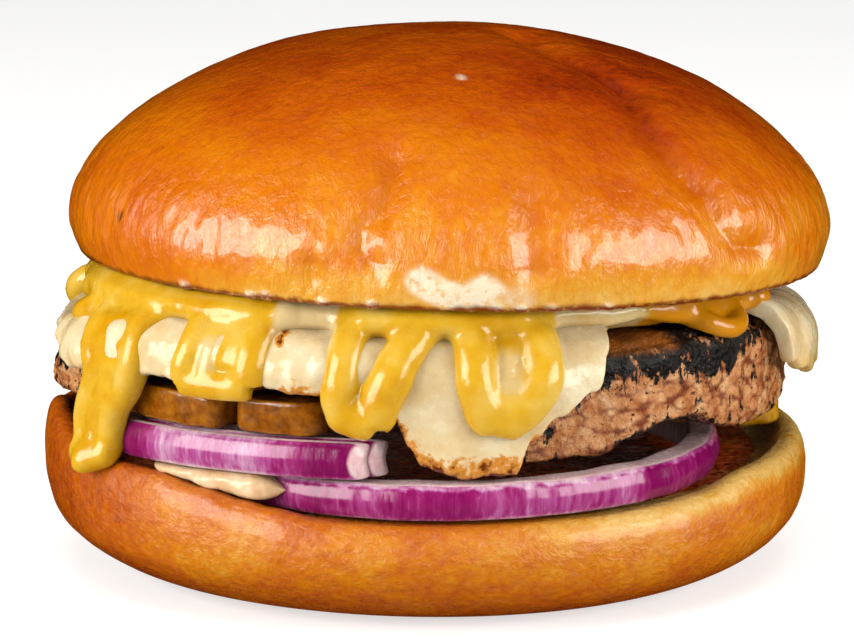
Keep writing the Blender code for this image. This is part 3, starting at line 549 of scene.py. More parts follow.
def crust(name):
    """Egg-washed crust: amber, browner where its layer of baking and painted shade is high, with fine
    wrinkles and specks.
    """
    shader = Shader(name, Coat_Weight=0.45, Coat_Roughness=0.06, Specular_IOR_Level=0.5)
    mottle = shader.noise(9 * MM, 5.0, 0.6)
    fine = shader.noise(1.1 * MM, 4.0, 0.65)
    streaks = shader.noise(1.6 * MM, 5.0, 0.6, 0.0, (1, 1, 1.8))
    level = shader.total(shader.layer("baked"), shader.remap(mottle, 0.25, 0.75, -0.09, 0.09),
                         shader.vary(fine, -0.04, 0.04), shader.vary(streaks, -0.04, 0.04))
    colour = shader.shades(level, (0.0, 242, 190, 96), (0.16, 236, 162, 48), (0.38, 226, 124, 12),
                           (0.6, 208, 96, 12), (0.8, 180, 66, 16), (1.0, 112, 34, 12))
    # Pale where the crust is torn, on its crumbs, and where a highlight and a glint are painted
    torn = shader.math("MULTIPLY", shader.layer("torn"), shader.remap(fine, 0.2, 0.6))
    colour = shader.mix(torn, colour, srgb(255, 238, 206))
    toast = shader.math("MULTIPLY", shader.layer("toasted"), shader.remap(fine, 0.15, 0.5))
    colour = shader.mix(toast, colour, srgb(128, 54, 14))
    normal = shader.bump(shader.noise(1.4 * MM, 5.0, 0.6, 0.3, (1, 1, 2.2)), 0.5 * MM)
    normal = shader.bump(shader.noise(0.5 * MM, 3.0), 0.08 * MM, normal)
    return shader.finish(colour, shader.remap(streaks, 0.3, 0.75, 0.1, 0.3), normal)


def crumb_face(shader, colour, normal):
    """Adds the toasted, open crumb of a cut face, where the layer "cut" is 1."""
    pores = shader.remap(shader.cells(1.5 * MM), 0.1, 0.6)
    crumb = shader.shades(shader.noise(4 * MM, 5.0), (0.3, 186, 60, 26), (0.5, 228, 94, 40),
                          (0.7, 240, 150, 84))
    crumb = shader.mix(pores, srgb(158, 44, 20), crumb)
    ragged = shader.remap(shader.noise(1.6 * MM, 5.0, 0.65), 0.25, 0.75, -0.4, 0.4)
    cut = shader.remap(shader.total(shader.layer("cut"), ragged), 0.4, 0.6)
    colour = shader.mix(cut, colour, crumb)
    return colour, shader.bump(shader.math("MULTIPLY", pores, cut), 0.5 * MM, normal)


def heel_crust(name):
    """The same crust, with a rougher side and a cut face."""
    shader = Shader(name, Coat_Weight=0.25, Coat_Roughness=0.1, Specular_IOR_Level=0.5)
    mottle = shader.noise(8 * MM, 5.0, 0.6)
    fine = shader.noise(1.0 * MM, 4.0, 0.65)
    streaks = shader.noise(1.6 * MM, 5.0, 0.6, 0.0, (1.4, 1.4, 1))
    level = shader.total(shader.layer("baked"), shader.remap(mottle, 0.25, 0.75, -0.12, 0.12),
                         shader.vary(fine, -0.06, 0.06), shader.vary(streaks, -0.05, 0.05))
    colour = shader.shades(level, (0.0, 238, 190, 104), (0.16, 232, 166, 62), (0.38, 222, 130, 18),
                           (0.6, 204, 100, 16), (0.8, 176, 76, 20), (1.0, 120, 42, 14))
    normal = shader.bump(shader.noise(1.3 * MM, 5.0, 0.65, 0.3, (1.3, 1.3, 1)), 0.55 * MM)
    normal = shader.bump(shader.noise(0.5 * MM, 3.0), 0.08 * MM, normal)
    colour, normal = crumb_face(shader, colour, normal)
    return shader.finish(colour, shader.remap(streaks, 0.3, 0.75, 0.15, 0.32), normal)


def meat(name):
    """Coarse beef, charred where the layer "char" is high, and browned by fat where "film" is."""
    shader = Shader(name, Coat_Weight=0.04, Coat_Roughness=0.06, Specular_IOR_Level=0.3)
    grains = shader.cells(1.5 * MM, stretch=(1.3, 1.3, 0.8))
    tone = shader.noise(2.8 * MM, 6.0, 0.65, 0.4)
    fine = shader.noise(0.5 * MM, 4.0, 0.6)
    colour = shader.shades(tone, (0.28, 140, 72, 36), (0.42, 192, 118, 66), (0.56, 224, 160, 106),
                           (0.72, 244, 202, 154))
    colour = shader.mix(shader.remap(grains, 0.45, 0.9), colour, srgb(132, 62, 30))
    speck = shader.remap(shader.noise(0.9 * MM, 3.0), 0.62, 0.7)
    colour = shader.mix(speck, colour, srgb(78, 36, 18))
    edge = shader.vary(shader.noise(2.0 * MM, 5.0, 0.7, 0.0, (1, 1, 2.0)), -0.75, 0.75)
    burnt = shader.remap(shader.total(shader.layer("char"), edge), 0.42, 0.58)
    crust_tone = shader.ramp(fine, [(0.4, (0.0006, 0.0002, 0.0002, 1)), (0.62, (0.002, 0.0007, 0.0005, 1)),
                                    (0.82, srgb(96, 50, 28))])
    colour = shader.mix(burnt, colour, crust_tone)
    colour = shader.mix(shader.layer("film"), colour, srgb(196, 112, 44))
    roughness = shader.total(shader.vary(fine, 0.18, 0.4), shader.math("MULTIPLY", burnt, 0.06))
    normal = shader.bump(grains, 0.22 * MM)
    normal = shader.bump(tone, 0.6 * MM, normal)
    normal = shader.bump(shader.noise(0.8 * MM, 4.0, 0.65), 0.45 * MM, normal)
    return shader.finish(colour, roughness, normal)


def melted_cheese(name):
    """Pale melted cheese: browned and yellowed where the layers of those names are high."""
    shader = Shader(name, Coat_Weight=0.2, Coat_Roughness=0.1, Specular_IOR_Level=0.35,
                    Subsurface_Weight=0.12, Subsurface_Radius=(1.0, 0.7, 0.35), Subsurface_Scale=1.5 * MM)
    colour = shader.shades(shader.noise(5 * MM, 4.0, 0.5), (0.3, 224, 190, 134), (0.5, 234, 210, 164),
                           (0.7, 244, 228, 192))
    colour = shader.mix(shader.layer("yellowed"), colour, srgb(230, 190, 116))
    ragged = shader.remap(shader.noise(1.2 * MM, 5.0), 0.25, 0.75, -0.3, 0.3)
    brown = shader.total(shader.layer("browned"), ragged)
    colour = shader.mix(shader.remap(brown, 0.35, 0.6), colour, srgb(216, 142, 58))
    colour = shader.mix(shader.remap(brown, 0.65, 0.9), colour, srgb(110, 48, 16))
    roughness = shader.vary(shader.noise(0.8 * MM, 4.0, 0.6), 0.14, 0.3)
    return shader.finish(colour, roughness, shader.bump(shader.noise(2.2 * MM, 3.0, 0.5), 0.25 * MM))


def cheese_sauce(name):
    """Thick yellow sauce: orange where the layer "stained" is high, and paler where "milky" is."""
    shader = Shader(name, Coat_Weight=0.2, Coat_Roughness=0.08, Specular_IOR_Level=0.35,
                    Subsurface_Weight=0.12, Subsurface_Radius=(1.0, 0.6, 0.15), Subsurface_Scale=1.5 * MM)
    tone = shader.noise(6 * MM, 3.0, 0.5)
    colour = shader.shades(tone, (0.3, 212, 152, 16), (0.5, 224, 174, 46), (0.7, 232, 192, 88))
    colour = shader.mix(shader.layer("stained"), colour, srgb(206, 130, 18))
    milk = shader.total(shader.layer("milky"), shader.vary(tone, -0.15, 0.15))
    colour = shader.mix(shader.remap(milk, 0.2, 0.8), colour, srgb(226, 198, 142))
    roughness = shader.vary(shader.noise(1.2 * MM, 3.0), 0.16, 0.28)
    return shader.finish(colour, roughness, shader.bump(shader.noise(1.8 * MM, 3.0, 0.5), 0.12 * MM))


def red_onion(name):
    """Red onion: purple skin, streaked along the layer, with pale flesh at the cuts."""
    shader = Shader(name, Coat_Weight=0.15, Coat_Roughness=0.08, Specular_IOR_Level=0.35,
                    Subsurface_Weight=0.08, Subsurface_Radius=(1.0, 0.4, 0.7), Subsurface_Scale=0.8 * MM)
    broad = shader.noise(6 * MM, 3.0, 0.5, 0.2, (1, 1, 12))
    veins = shader.noise(0.8 * MM, 4.0, 0.6, 0.1, (1, 1, 18))
    # The layer "pale" lightens the skin: cut edges, white streaks, and on the left arc a painted reflection
    tone = shader.total(shader.remap(broad, 0.25, 0.75, 0.3, 0.62), shader.vary(veins, -0.1, 0.1),
                        shader.layer("pale"))
    skin = shader.shades(tone, (0.25, 130, 24, 88), (0.44, 154, 40, 108), (0.6, 178, 80, 146),
                         (0.8, 208, 154, 190), (1.0, 234, 206, 218))
    flesh = shader.shades(shader.noise(1.4 * MM, 4.0), (0.3, 248, 192, 198), (0.55, 255, 222, 224),
                          (0.8, 255, 246, 242))
    colour = shader.mix(shader.layer("skin"), flesh, skin)
    return shader.finish(colour, shader.vary(veins, 0.14, 0.3), shader.bump(veins, 0.06 * MM))


def pickled_cucumber(name):
    """Pickled cucumber: wet flesh with a darker rind, greener where the layer "green" is 1."""
    shader = Shader(name, Coat_Weight=0.2, Coat_Roughness=0.08, Specular_IOR_Level=0.35)
    tone = shader.noise(2.4 * MM, 5.0, 0.6, 0.4)
    colour = shader.shades(tone, (0.3, 112, 56, 8), (0.45, 152, 84, 12), (0.6, 176, 104, 20),
                           (0.78, 206, 142, 40))
    skin = shader.shades(shader.noise(1.6 * MM, 4.0), (0.3, 100, 50, 8), (0.5, 146, 78, 10),
                         (0.75, 182, 112, 22))
    colour = shader.mix(shader.layer("skin"), colour, skin)
    green = shader.shades(tone, (0.3, 96, 60, 10), (0.45, 172, 122, 24), (0.6, 214, 158, 36),
                          (0.78, 232, 188, 66))
    colour = shader.mix(shader.layer("green"), colour, green)
    normal = shader.bump(shader.noise(1.3 * MM, 4.0), 0.1 * MM)
    return shader.finish(colour, shader.vary(tone, 0.14, 0.28), normal)


def mayonnaise(name):
    shader = Shader(name, Coat_Weight=0.15, Coat_Roughness=0.1, Specular_IOR_Level=0.35)
    tone = shader.noise(3 * MM, 4.0)
    colour = shader.shades(tone, (0.3, 232, 178, 126), (0.55, 242, 204, 158), (0.8, 250, 226, 194))
    normal = shader.bump(shader.noise(1.6 * MM, 3.0), 0.15 * MM)
    return shader.finish(colour, shader.vary(tone, 0.2, 0.35), normal)


MATERIALS = {
    "crown": crust("crown_crust"),
    "heel": heel_crust("heel_crust"),
    "patty": meat("beef"),
    "cheese": melted_cheese("melted_cheese"),
    "sauce": cheese_sauce("cheese_sauce"),
    "onion": red_onion("red_onion"),
    "pickle": pickled_cucumber("pickled_cucumber"),
    "mayonnaise": mayonnaise("mayonnaise"),
}


# Bun

def crown_point(bearing, latitude):
    out = np.abs(np.cos(latitude)) ** (2 / CROWN_POWER)
    up = np.abs(np.sin(latitude)) ** (2 / CROWN_POWER) * np.sign(latitude)
    return polar(CROWN_RADIUS * out, bearing, CROWN_RISE * up)


def crown_path(stops):
    return [crown_point(math.radians(bearing), math.radians(latitude)) for bearing, latitude in stops]


def near_on_crown(points, stops, reach, power=4):
    """1 on the path along the crown, falling to 0 past this reach."""
    return np.exp(-((distance_to_path(points, crown_path(stops)) / reach) ** power))


def crown_relief(dome, latitude, above):
    """How far the crust lies inside the plain dome, nowhere where above is 0, and where its crumbs are."""
    inward = 0.55 * MM * lumps(dome, 24 * MM) * above
    for path, width, depth in CROWN_CREASES:
        away = distance_to_path(dome, crown_path(path))
        inward += above * depth * np.exp(-((away / width) ** 2))
        inward += above * 0.25 * depth * np.exp(-((away / (0.3 * width)) ** 2))
    lower = band(np.degrees(latitude), -20, 14, 22)
    wrinkle = 1.4 * lumps(dome, 1.7 * MM, (1, 1, 2.6), 3.1) + 0.8 * lumps(dome, 4.2 * MM, (1, 1, 1.8), 7.7)
    inward += 0.17 * MM * wrinkle * above * np.maximum(lower, 0.25)
    crumbs = np.zeros_like(inward)
    for stop in CROWN_CRUMBS:
        crumbs = np.maximum(crumbs, near_on_crown(dome, [stop, stop], 0.9 * MM))
    inward -= 0.5 * MM * crumbs
    rough = near_on_crown(dome, [(62, 78), (50, 66), (49, 54)], 8 * MM, 2)
    inward += 0.35 * MM * rough * lumps(dome, 2.6 * MM, (2.0, 1, 1), 1.7)
    return inward, crumbs


def crown_base(radius, level, around):
    """The rows under the dome's edge: a small lip, and then the cut face up to its middle."""
    outline = [(radius - 0.25 * MM, level - 0.25 * MM), (radius - 0.8 * MM, level - 0.35 * MM),
               (radius - 1.6 * MM, level)]
    shares = (0.94, 0.91, 0.88, 0.84, 0.8, 0.7, 0.55, 0.35, 0.15, 0.0)
    outline += [(radius * share, level) for share in shares]
    out, height = columns(outline)
    base = polar(out, all_round(around), height)
    base[:-1, :, 2] += 0.35 * MM * np.abs(lumps(base[:-1], 2.2 * MM))
    return base


def crown_tone(dome, bearing, latitude):
    """How brown the dome is: darkest on top and palest low at the front; painted shade on the left and in
    creases.
    """
    degrees, up = turned_by(bearing, 0), np.degrees(latitude)
    tone = 0.36 + 0.33 * eased((up - 16) / 44)
    tone += 0.14 * band(degrees, 25, 95, 25) * band(up, 22, 60, 14)
    # Painted shade: darker on the left side, low on the dome
    tone += 0.11 * eased((-degrees - 22) / 30) * band(up, -14, 20, 14)
    tone -= 0.26 * band(degrees, -22, 46, 30) * eased((4 - up) / 14)
    tone += 0.05 * lumps(dome, 16 * MM, seed=2.0)
    # Painted shade: darker along the creases
    ridge = np.zeros_like(tone)
    for path, width, _ in CROWN_CREASES:
        ridge += near_on_crown(dome, path, 0.5 * width, 2)
    return tone + 0.10 * ridge


def crown():
    around, down = 520, 150
    lowest = -math.asin((CROWN_DROP / CROWN_RISE) ** (CROWN_POWER / 2))
    latitudes = np.linspace(math.pi / 2, lowest, down)[:, None]
    bearing, latitude = np.broadcast_arrays(all_round(around), latitudes)
    dome = crown_point(bearing, latitude)
    edge_radius, edge = CROWN_RADIUS * abs(math.cos(lowest)) ** (2 / CROWN_POWER), dome[-1, 0, 2]
    inward, crumbs = crown_relief(dome, latitude, eased((dome[..., 2] - edge) / (4 * MM)))
    outward = dome / np.array([CROWN_RADIUS**2, CROWN_RADIUS**2, CROWN_RISE**2])
    outward /= np.linalg.norm(outward, axis=-1, keepdims=True)
    dome = dome - outward * inward[..., None]
    base = crown_base(edge_radius, edge, around)

    # Pale: the torn crumb at the front, partly a painted highlight, the crumbs, and a painted glint near the
    # top
    torn = 1.3 * near_on_crown(dome, CROWN_TEAR, 2.0 * MM, 6)
    torn += 0.5 * near_on_crown(dome, [(4, -7), (10, -8)], 1.8 * MM) + crumbs
    # A painted glint: a small bright dot near the top
    torn += 0.8 * near_on_crown(dome, [(1.5, 58), (1.8, 57.6)], 0.7 * MM)
    torn *= 1 + 0.6 * lumps(dome, 1.2 * MM)
    thin_line = 0.6 * MM * (1 + 0.9 * lumps(dome, 1.5 * MM, (1, 1, 4), 8.0))
    toasted = eased(1.3 - (dome[..., 2] - edge) / thin_line)
    spot = near_on_crown(dome, [(-56.8, 7.2), (-56.9, 6.4)], 0.7 * MM)
    rest = np.ones(base.shape[:2])
    layers = {
        "baked": np.concatenate([crown_tone(dome, bearing, latitude), 0.5 * rest]),
        "torn": np.concatenate([torn, 0 * rest]),
        "toasted": np.concatenate([np.maximum(toasted, spot), 0.95 * rest]),
    }
    turn = np.array(CROWN_TURN.to_matrix())
    rows = np.concatenate([dome, base]) @ turn.T + np.array(CROWN_PLACE)
    return stands_for(turned_skin("crown", rows, **layers), "crown", "bun_crown")


def heel_outline(inner, rim):
    """Points from the middle of the cut face to its edge, and then over the rim and down to the base."""
    shares = np.concatenate([[0], np.linspace(0.15, 0.7, 8), np.linspace(0.74, 1, 16)])
    face = [(inner * share, HEEL_CUT) for share in shares]
    outside = [(inner + HEEL_RIM_WIDTH * share, rim) for share in (0.15, 0.3, 0.45, 0.6)]
    outside += quarter((HEEL_RADIUS - HEEL_RIM_WIDTH * 0.4, rim), (HEEL_RADIUS, HEEL_WIDEST), 16)
    side = quarter((HEEL_BASE_RADIUS, 0), (HEEL_RADIUS, HEEL_WIDEST), 44, 1.9)
    outside += side[-2::-1] + [(HEEL_BASE_RADIUS * share, 0) for share in (1, 0.9, 0.6, 0.3, 0)]
    return face, outside


def heel_swell(rows, bearing, out, level):
    """The share by which the heel's points move out: lumps, a tuck under the front, and wrinkles."""
    outer = eased(out / HEEL_BASE_RADIUS - 0.9)
    swell = 1 + 0.010 * lumps(rows, 26 * MM) * outer
    low = eased((HEEL_WIDEST - level) / HEEL_WIDEST) * eased(out / HEEL_BASE_RADIUS * 2 - 1)
    swell = swell - HEEL_TUCK * low * eased(0.5 - 0.9 * np.sin(bearing))
    standing = eased(level / (2 * MM))
    wrinkle = lumps(rows, 2.1 * MM, (1.5, 1.5, 1), 5.3) + 0.7 * lumps(rows, 4.6 * MM, (1.8, 1.8, 1), 9.1)
    return swell + 0.0045 * wrinkle * standing * eased(out / HEEL_BASE_RADIUS - 0.95)


def heel():
    rim, inner = HEEL_CUT + 0.2 * MM, HEEL_RADIUS - HEEL_RIM_WIDTH
    face, outside = heel_outline(inner, rim)
    radius, height = columns(face + outside)
    rows = polar(radius, all_round(440), height)
    bearing, out, level = np.broadcast_arrays(all_round(440), radius, height)
    rise = by_bearing(HEEL_RIM, bearing) - rim
    share = eased((out - inner) / (HEEL_RIM_WIDTH * 0.45))
    upper = eased((level - HEEL_WIDEST * 0.6) / (HEEL_CUT - HEEL_WIDEST * 0.6))
    placed = rows * heel_swell(rows, bearing, out, level)[..., None]
    placed[..., 2] = rows[..., 2] + rise * share * upper
    placed[:len(face), :, 2] -= 0.35 * MM * np.abs(lumps(rows[:len(face)], 2.4 * MM))

    degrees = turned_by(bearing, 0)
    rim_top = eased((level - 12.5 * MM) / (3 * MM))
    tone = 0.43 + 0.33 * eased((9 * MM - level) / (11 * MM)) + 0.22 * eased((-degrees - 34) / 24)
    tone -= 0.46 * eased((level - 12.0 * MM) / (3 * MM)) * band(degrees, 34, 120, 30)
    # Painted shade: darker on the front of the rim
    tone += 0.08 * rim_top * band(degrees, -40, 20, 20)
    tone += 0.07 * lumps(rows, 14 * MM, seed=4.0)
    cut = eased((inner - 0.2 * MM - out) / (2 * MM)) * (level > HEEL_WIDEST)
    return stands_for(turned_skin("heel", placed, baked=tone, cut=cut), "heel", "bun_heel")


# Patty and cheese

def patty_level(bearing, share, which):
    """The height of the patty's underside (which is 0) or top (1) at this share of its radius."""
    rim = by_bearing((PATTY_BOTTOM, PATTY_TOP)[which], bearing)
    start, end = ((0.15, 0.64), (0.25, 0.86))[which]
    return PATTY_CENTRE[which] + (rim - PATTY_CENTRE[which]) * eased((share - start) / (end - start))


def patty_shoulder(bearing):
    return np.minimum(PATTY_SHOULDER, (patty_level(bearing, 1.0, 1) - patty_level(bearing, 1.0, 0)) / 2)


def patty_outline(unit, half):
    """A plain disc's outline, with this radius and half height, from the top's middle to the underside's."""
    shoulder = PATTY_SHOULDER
    shares = (0, 0.2, 0.4, 0.55, 0.65, 0.72, 0.77, 0.81, 0.84, 0.87, 0.895)
    profile = [(unit * share, half) for share in shares]
    profile += [(unit - shoulder, half)] + quarter((unit - shoulder, half), (unit, half - shoulder), 12)
    profile += [(unit, height * MM) for height in (2, 1, 0, -1, -2)]
    low = quarter((unit - shoulder, -half), (unit, shoulder - half), 12)
    profile += low[::-1] + [(unit - shoulder, -half)]
    return profile + [(unit * share, -half) for share in (0.88, 0.84, 0.8, 0.72, 0.6, 0.45, 0.2, 0)]


def patty_crags(rows, share):
    """How far the coarse side is bitten in, and nothing of it near the middle."""
    bitten = hills(rows, 6 * MM) + 0.5 * hills(rows, 3 * MM)
    bitten = bitten + 0.7 * hills(rows, 2.6 * MM, (1.4, 1.4, 0.8), 6.0)
    bitten = bitten + 0.45 * hills(rows, 1.3 * MM, (1.2, 1.2, 0.8))
    return bitten * eased((share - 0.74) / 0.08) * MM


def patty():
    unit, half, shoulder = 50 * MM, 7 * MM, PATTY_SHOULDER
    radius, height = columns(patty_outline(unit, half))
    rows = polar(radius, all_round(460), height)
    bearing, share, level = np.broadcast_arrays(all_round(460), radius / unit, height)
    bottom, top = patty_level(bearing, share, 0), patty_level(bearing, share, 1)
    drop = (half - np.abs(level)) * patty_shoulder(bearing) / shoulder
    upper, lower = top - patty_shoulder(bearing), bottom + patty_shoulder(bearing) * PATTY_UNDER_ROUND
    straight = lower + (upper - lower) * (level / (half - shoulder) + 1) / 2
    tall = np.where(level > 0, top - drop, bottom + drop * PATTY_UNDER_ROUND)
    tall = np.where(np.abs(level) < half - shoulder - 0.01 * MM, straight, tall)
    placed = polar(by_bearing(PATTY_RADIUS, bearing) * share - patty_crags(rows, share), bearing, tall)
    sunk = 0.5 * MM * hills(rows, 8 * MM) + 0.5 * MM * hills(rows, 2.0 * MM, seed=8.0)
    placed[..., 2] -= np.where(np.abs(level) > half * 0.8, np.sign(level) * sunk * eased(share * 2), 0)

    degrees, height_mm = turned_by(bearing, 0), placed[..., 2] / MM
    lowest_char = np.interp(degrees, *zip(*PATTY_CHAR))
    front = (degrees > PATTY_CHAR[0][0]) & (degrees < PATTY_CHAR[-1][0])
    char = np.where(front, eased((height_mm - lowest_char) / 3.6 + 0.55),
                    eased((5.5 - (top - placed[..., 2]) / MM) / 3.5))
    char = np.maximum(char, 0.75 * (1 - eased((placed[..., 2] - bottom) / (2.5 * MM))))
    char = np.maximum(char, 0.75 * eased((share - 0.4) * -8 + 1) * (level < 0))
    blotchy = 0.6 + 0.6 * lumps(rows, 3 * MM, seed=11.0)
    film = np.clip(band(degrees, 31, 41, 3) * eased((height_mm - 36.0) / 1.2) * blotchy, 0, 0.9)
    return stands_for(turned_skin("beef_patty", placed, char=char, film=film), "patty", "patty")


def drape(bearing, run, proud):
    """Points this far along the patty's top from its middle, then down its side, and this proud of it."""
    rim = by_bearing(PATTY_RADIUS, bearing)
    flat = rim - PATTY_SHOULDER
    arc = (PATTY_SHOULDER + CHEESE_LIFT) * math.pi / 2
    upright = patty_shoulder(bearing)
    middle = patty_level(bearing, 1.0, 1) - upright
    turn = np.clip((run - flat) / arc, 0, 1) * math.pi / 2
    down = np.maximum(run - flat - arc, 0.0)
    out, up = (PATTY_SHOULDER + proud) * np.sin(turn), (upright + proud) * np.cos(turn)
    on_top = polar(run, bearing, patty_level(bearing, run / rim, 1) + proud)
    return np.where((run <= flat)[..., None], on_top, polar(flat + out, bearing, middle + up - down))


def cheese_outline():
    """The slice's outline: shares of its length, and how much of its thickness lies below each point."""
    over = np.concatenate([[0], np.linspace(0.2, 0.7, 9), np.linspace(0.72, 0.985, 60)])
    hem = [(1 - 0.015 * (1 - math.sin(turn)), 0.5 + 0.5 * math.cos(turn))
           for turn in np.linspace(0.35, math.pi - 0.35, 9)]
    under = np.concatenate([np.linspace(0.985, 0.75, 24), [0.65, 0.5, 0.3, 0]])
    return [(run, 1.0) for run in over] + hem + [(run, 0.0) for run in under]


def cheese_browning(degrees, height, share):
    """Where the hem is browned, by bearing, height in millimetres and share of the slice's length."""
    hem_near = eased((share - 0.93) / 0.07)
    melt = band(degrees, 3.2, 14.0, 2.0) * eased((26.0 - height) / 2.2)
    return np.maximum.reduce([
        0.8 * hem_near * band(degrees, -5, 2.6, 1.5),
        0.62 * melt,
        0.85 * eased((share - 0.975) / 0.02) * band(degrees, -5, 15, 3),
        0.6 * hem_near * band(degrees, -21, -15, 2),
        0.95 * oval(degrees, height, (-22.2, 40.2), (1.0, 1.5), 2)])


def cheese():
    share, lift = columns(cheese_outline())
    turns = all_round(560)
    bearing = turns - 0.45 * np.sin(turns)
    bearing, share, lift = np.broadcast_arrays(bearing, share, lift)
    edge = np.stack([np.sin(bearing) * 50, np.cos(bearing) * 50, 0 * bearing], axis=-1) * MM
    ragged = 0.7 * MM * lumps(edge, 3.5 * MM) + 0.35 * MM * lumps(edge, 1.3 * MM)
    rim = by_bearing(PATTY_RADIUS, bearing)
    length = rim - PATTY_SHOULDER + by_bearing(CHEESE_REACH, bearing) + ragged
    noise_at = np.stack([bearing * 9, share * 4, 0 * bearing], axis=-1)
    loose = eased(share * 3 - 1.6)
    swell = 1 + 0.22 * lumps(noise_at, 1.0) * loose
    place = drape(bearing, length * share, CHEESE_LIFT)
    degrees = turned_by(bearing, 0)
    lumpy = band(degrees, -72, -8, 8) * eased((share - 0.84) / 0.08)
    bulge = 1.2 * MM * (0.4 + lumps(place, 5.5 * MM, seed=1.0)) + 0.6 * MM * lumps(place, 2.4 * MM, seed=2.0)
    soft = 0.25 * MM * lumps(place, 4.0 * MM, seed=3.0)
    thick = CHEESE_THICK * swell + (lumpy * bulge + soft) * loose
    placed = drape(bearing, length * share, CHEESE_LIFT + lift * thick)

    height = placed[..., 2] / MM
    browned = cheese_browning(degrees, height, share)
    yellowed = band(degrees, 62, 102, 6) * eased((34.5 - height) / 5)
    piece = turned_skin("cheese_slice", placed, browned=browned, yellowed=yellowed)
    return stands_for(piece, "cheese", "cheese")


# Onion

def wall_section(height, outer, wall, count):
    """A closed section of count points with a bellied outer side, and for each whether it is skin."""
    belly = 0.5 * MM
    bevel, inner = outer - 0.5 * MM, outer - wall
    corners = [(bevel, height), (outer, height * 0.86), (outer + belly, height * 0.5),
               (outer, height * 0.12), (bevel, 0), (inner, 0), (inner + belly, height * 0.5), (inner, height)]
    corners = np.array(corners + corners[:1])
    runs = np.concatenate([[0], np.cumsum(np.linalg.norm(np.diff(corners, axis=0), axis=1))])
    at = np.linspace(0, runs[-1], count, endpoint=False)
    section = np.stack([np.interp(at, runs, corners[:, 0]), np.interp(at, runs, corners[:, 1])], axis=-1)
    for _ in range(5):
        section = (np.roll(section, 1, axis=0) + 2 * section + np.roll(section, -1, axis=0)) / 4
    skin = band(at, runs[0], runs[4], 0.25 * MM) + band(at, runs[-1], runs[-1] + 1, 0.25 * MM)
    return section, np.clip(skin, 0, 1)


def onion_ring():
    section, skin = wall_section(ONION_RING_HEIGHT, ONION_RING_RADIUS, ONION_WALL, 64)
    bearings = all_round(460).T
    radius, height = section.T[:, None, :]
    points = polar(radius, bearings, height)
    bearing = np.broadcast_to(bearings, points.shape[:2])
    round_out = 1 + 0.008 * np.cos(2 * bearing) + 0.004 * np.cos(5 * bearing + 1)
    round_out = round_out + 0.006 * lumps(points, 5 * MM, (1, 1, 8))
    round_out = round_out + 0.003 * lumps(points, 1.5 * MM, (1, 1, 12))
    placed = points * round_out[..., None]
    share = points[..., 2] / ONION_RING_HEIGHT
    uneven = 0.3 * MM * lumps(points, 6 * MM, seed=2.0)
    placed[..., 2] = points[..., 2] + ONION_RING_LEAN * points[..., 0] + uneven * share
    placed += ONION_RING_CENTRE
    skins = np.broadcast_to(skin[None, :], bearing.shape)
    degrees = turned_by(bearing, 0)
    streaky = 0.5 + 0.5 * lumps(points, 2.4 * MM, (1, 1, 30), 5.0)
    pale = 0.30 * band(degrees, 13, 42, 4) * streaky - 0.12 * band(degrees, 44, 90, 5) - 0.04
    jagged = 0.84 + 0.12 * lumps(points, 1.6 * MM, (1, 1, 8), 6.0)
    pale += 0.34 * eased((share - jagged) / 0.08) + 0.2 * eased((0.14 - share) / 0.1)
    layers = {"skin": skins, "pale": pale}
    return stands_for(swept_skin("onion_ring", placed, True, **layers), "onion", "onion_ring_front")


def onion_arc(name, node, first, last, outer, outermost, level):
    wall = ONION_LAYER - ONION_GAP
    section, skin = wall_section(ONION_ARC_HEIGHT, outer, wall, 56)
    first, last = math.radians(first), math.radians(last)
    steps = round((last - first) * outer / (0.5 * MM))
    bearings = np.linspace(first, last, steps)[:, None]
    radius, height = section.T[:, None, :]
    radius, bearing, height = np.broadcast_arrays(radius, bearings, height)
    inner = (outermost - radius) / (2 * ONION_LAYER)
    near_end = eased(1 - (last - bearing) / (2 * ONION_BIAS))
    at = polar(radius, bearing, height)
    wobble = 0.25 * MM * lumps(at, 6 * MM, (1, 1, 8)) + 0.08 * MM * lumps(at, 1.4 * MM, (1, 1, 12))
    tip = np.minimum(bearing - first, last - bearing) * outer
    round_end = 1 - 0.10 * eased(1 - tip / (0.8 * MM))
    centre = height.mean()
    height = centre + (height - centre) * round_end
    placed = polar(radius + wobble, bearing + near_end * inner * ONION_BIAS, height + level(bearing))
    skins = np.broadcast_to(skin[None, :], bearing.shape).copy()
    skins *= eased(tip / (0.5 * MM) + 0.2)
    degrees = np.degrees(bearing)
    share = (height - height.min()) / ONION_ARC_HEIGHT
    # Paler from -43 to -28 degrees, pale streaks with a painted reflection; darker from -23 to -12 and from
    # -64 to -50
    pale = 0.2 * band(degrees, -43, -28, 5) - 0.12 * band(degrees, -23, -12, 3)
    pale -= 0.04 * band(degrees, -64, -50, 6)
    pale += 0.26 * eased((0.14 - share) / 0.1) + 0.14 * eased((share - 0.88) / 0.08)
    layers = {"skin": skins, "pale": pale}
    return stands_for(swept_skin(name, placed, False, **layers), "onion", node)


def left_level(bearing):
    past = np.maximum(math.radians(LEFT_ARC[1]) - bearing, 0.0)
    return LEFT_ARC_LEVEL - LEFT_ARC_FALL * (past / math.radians(50)) ** 1.4


def back_level(bearing):
    return BACK_ARC_LEVEL + 0.2 * MM * np.sin(4 * bearing)


# Pickles

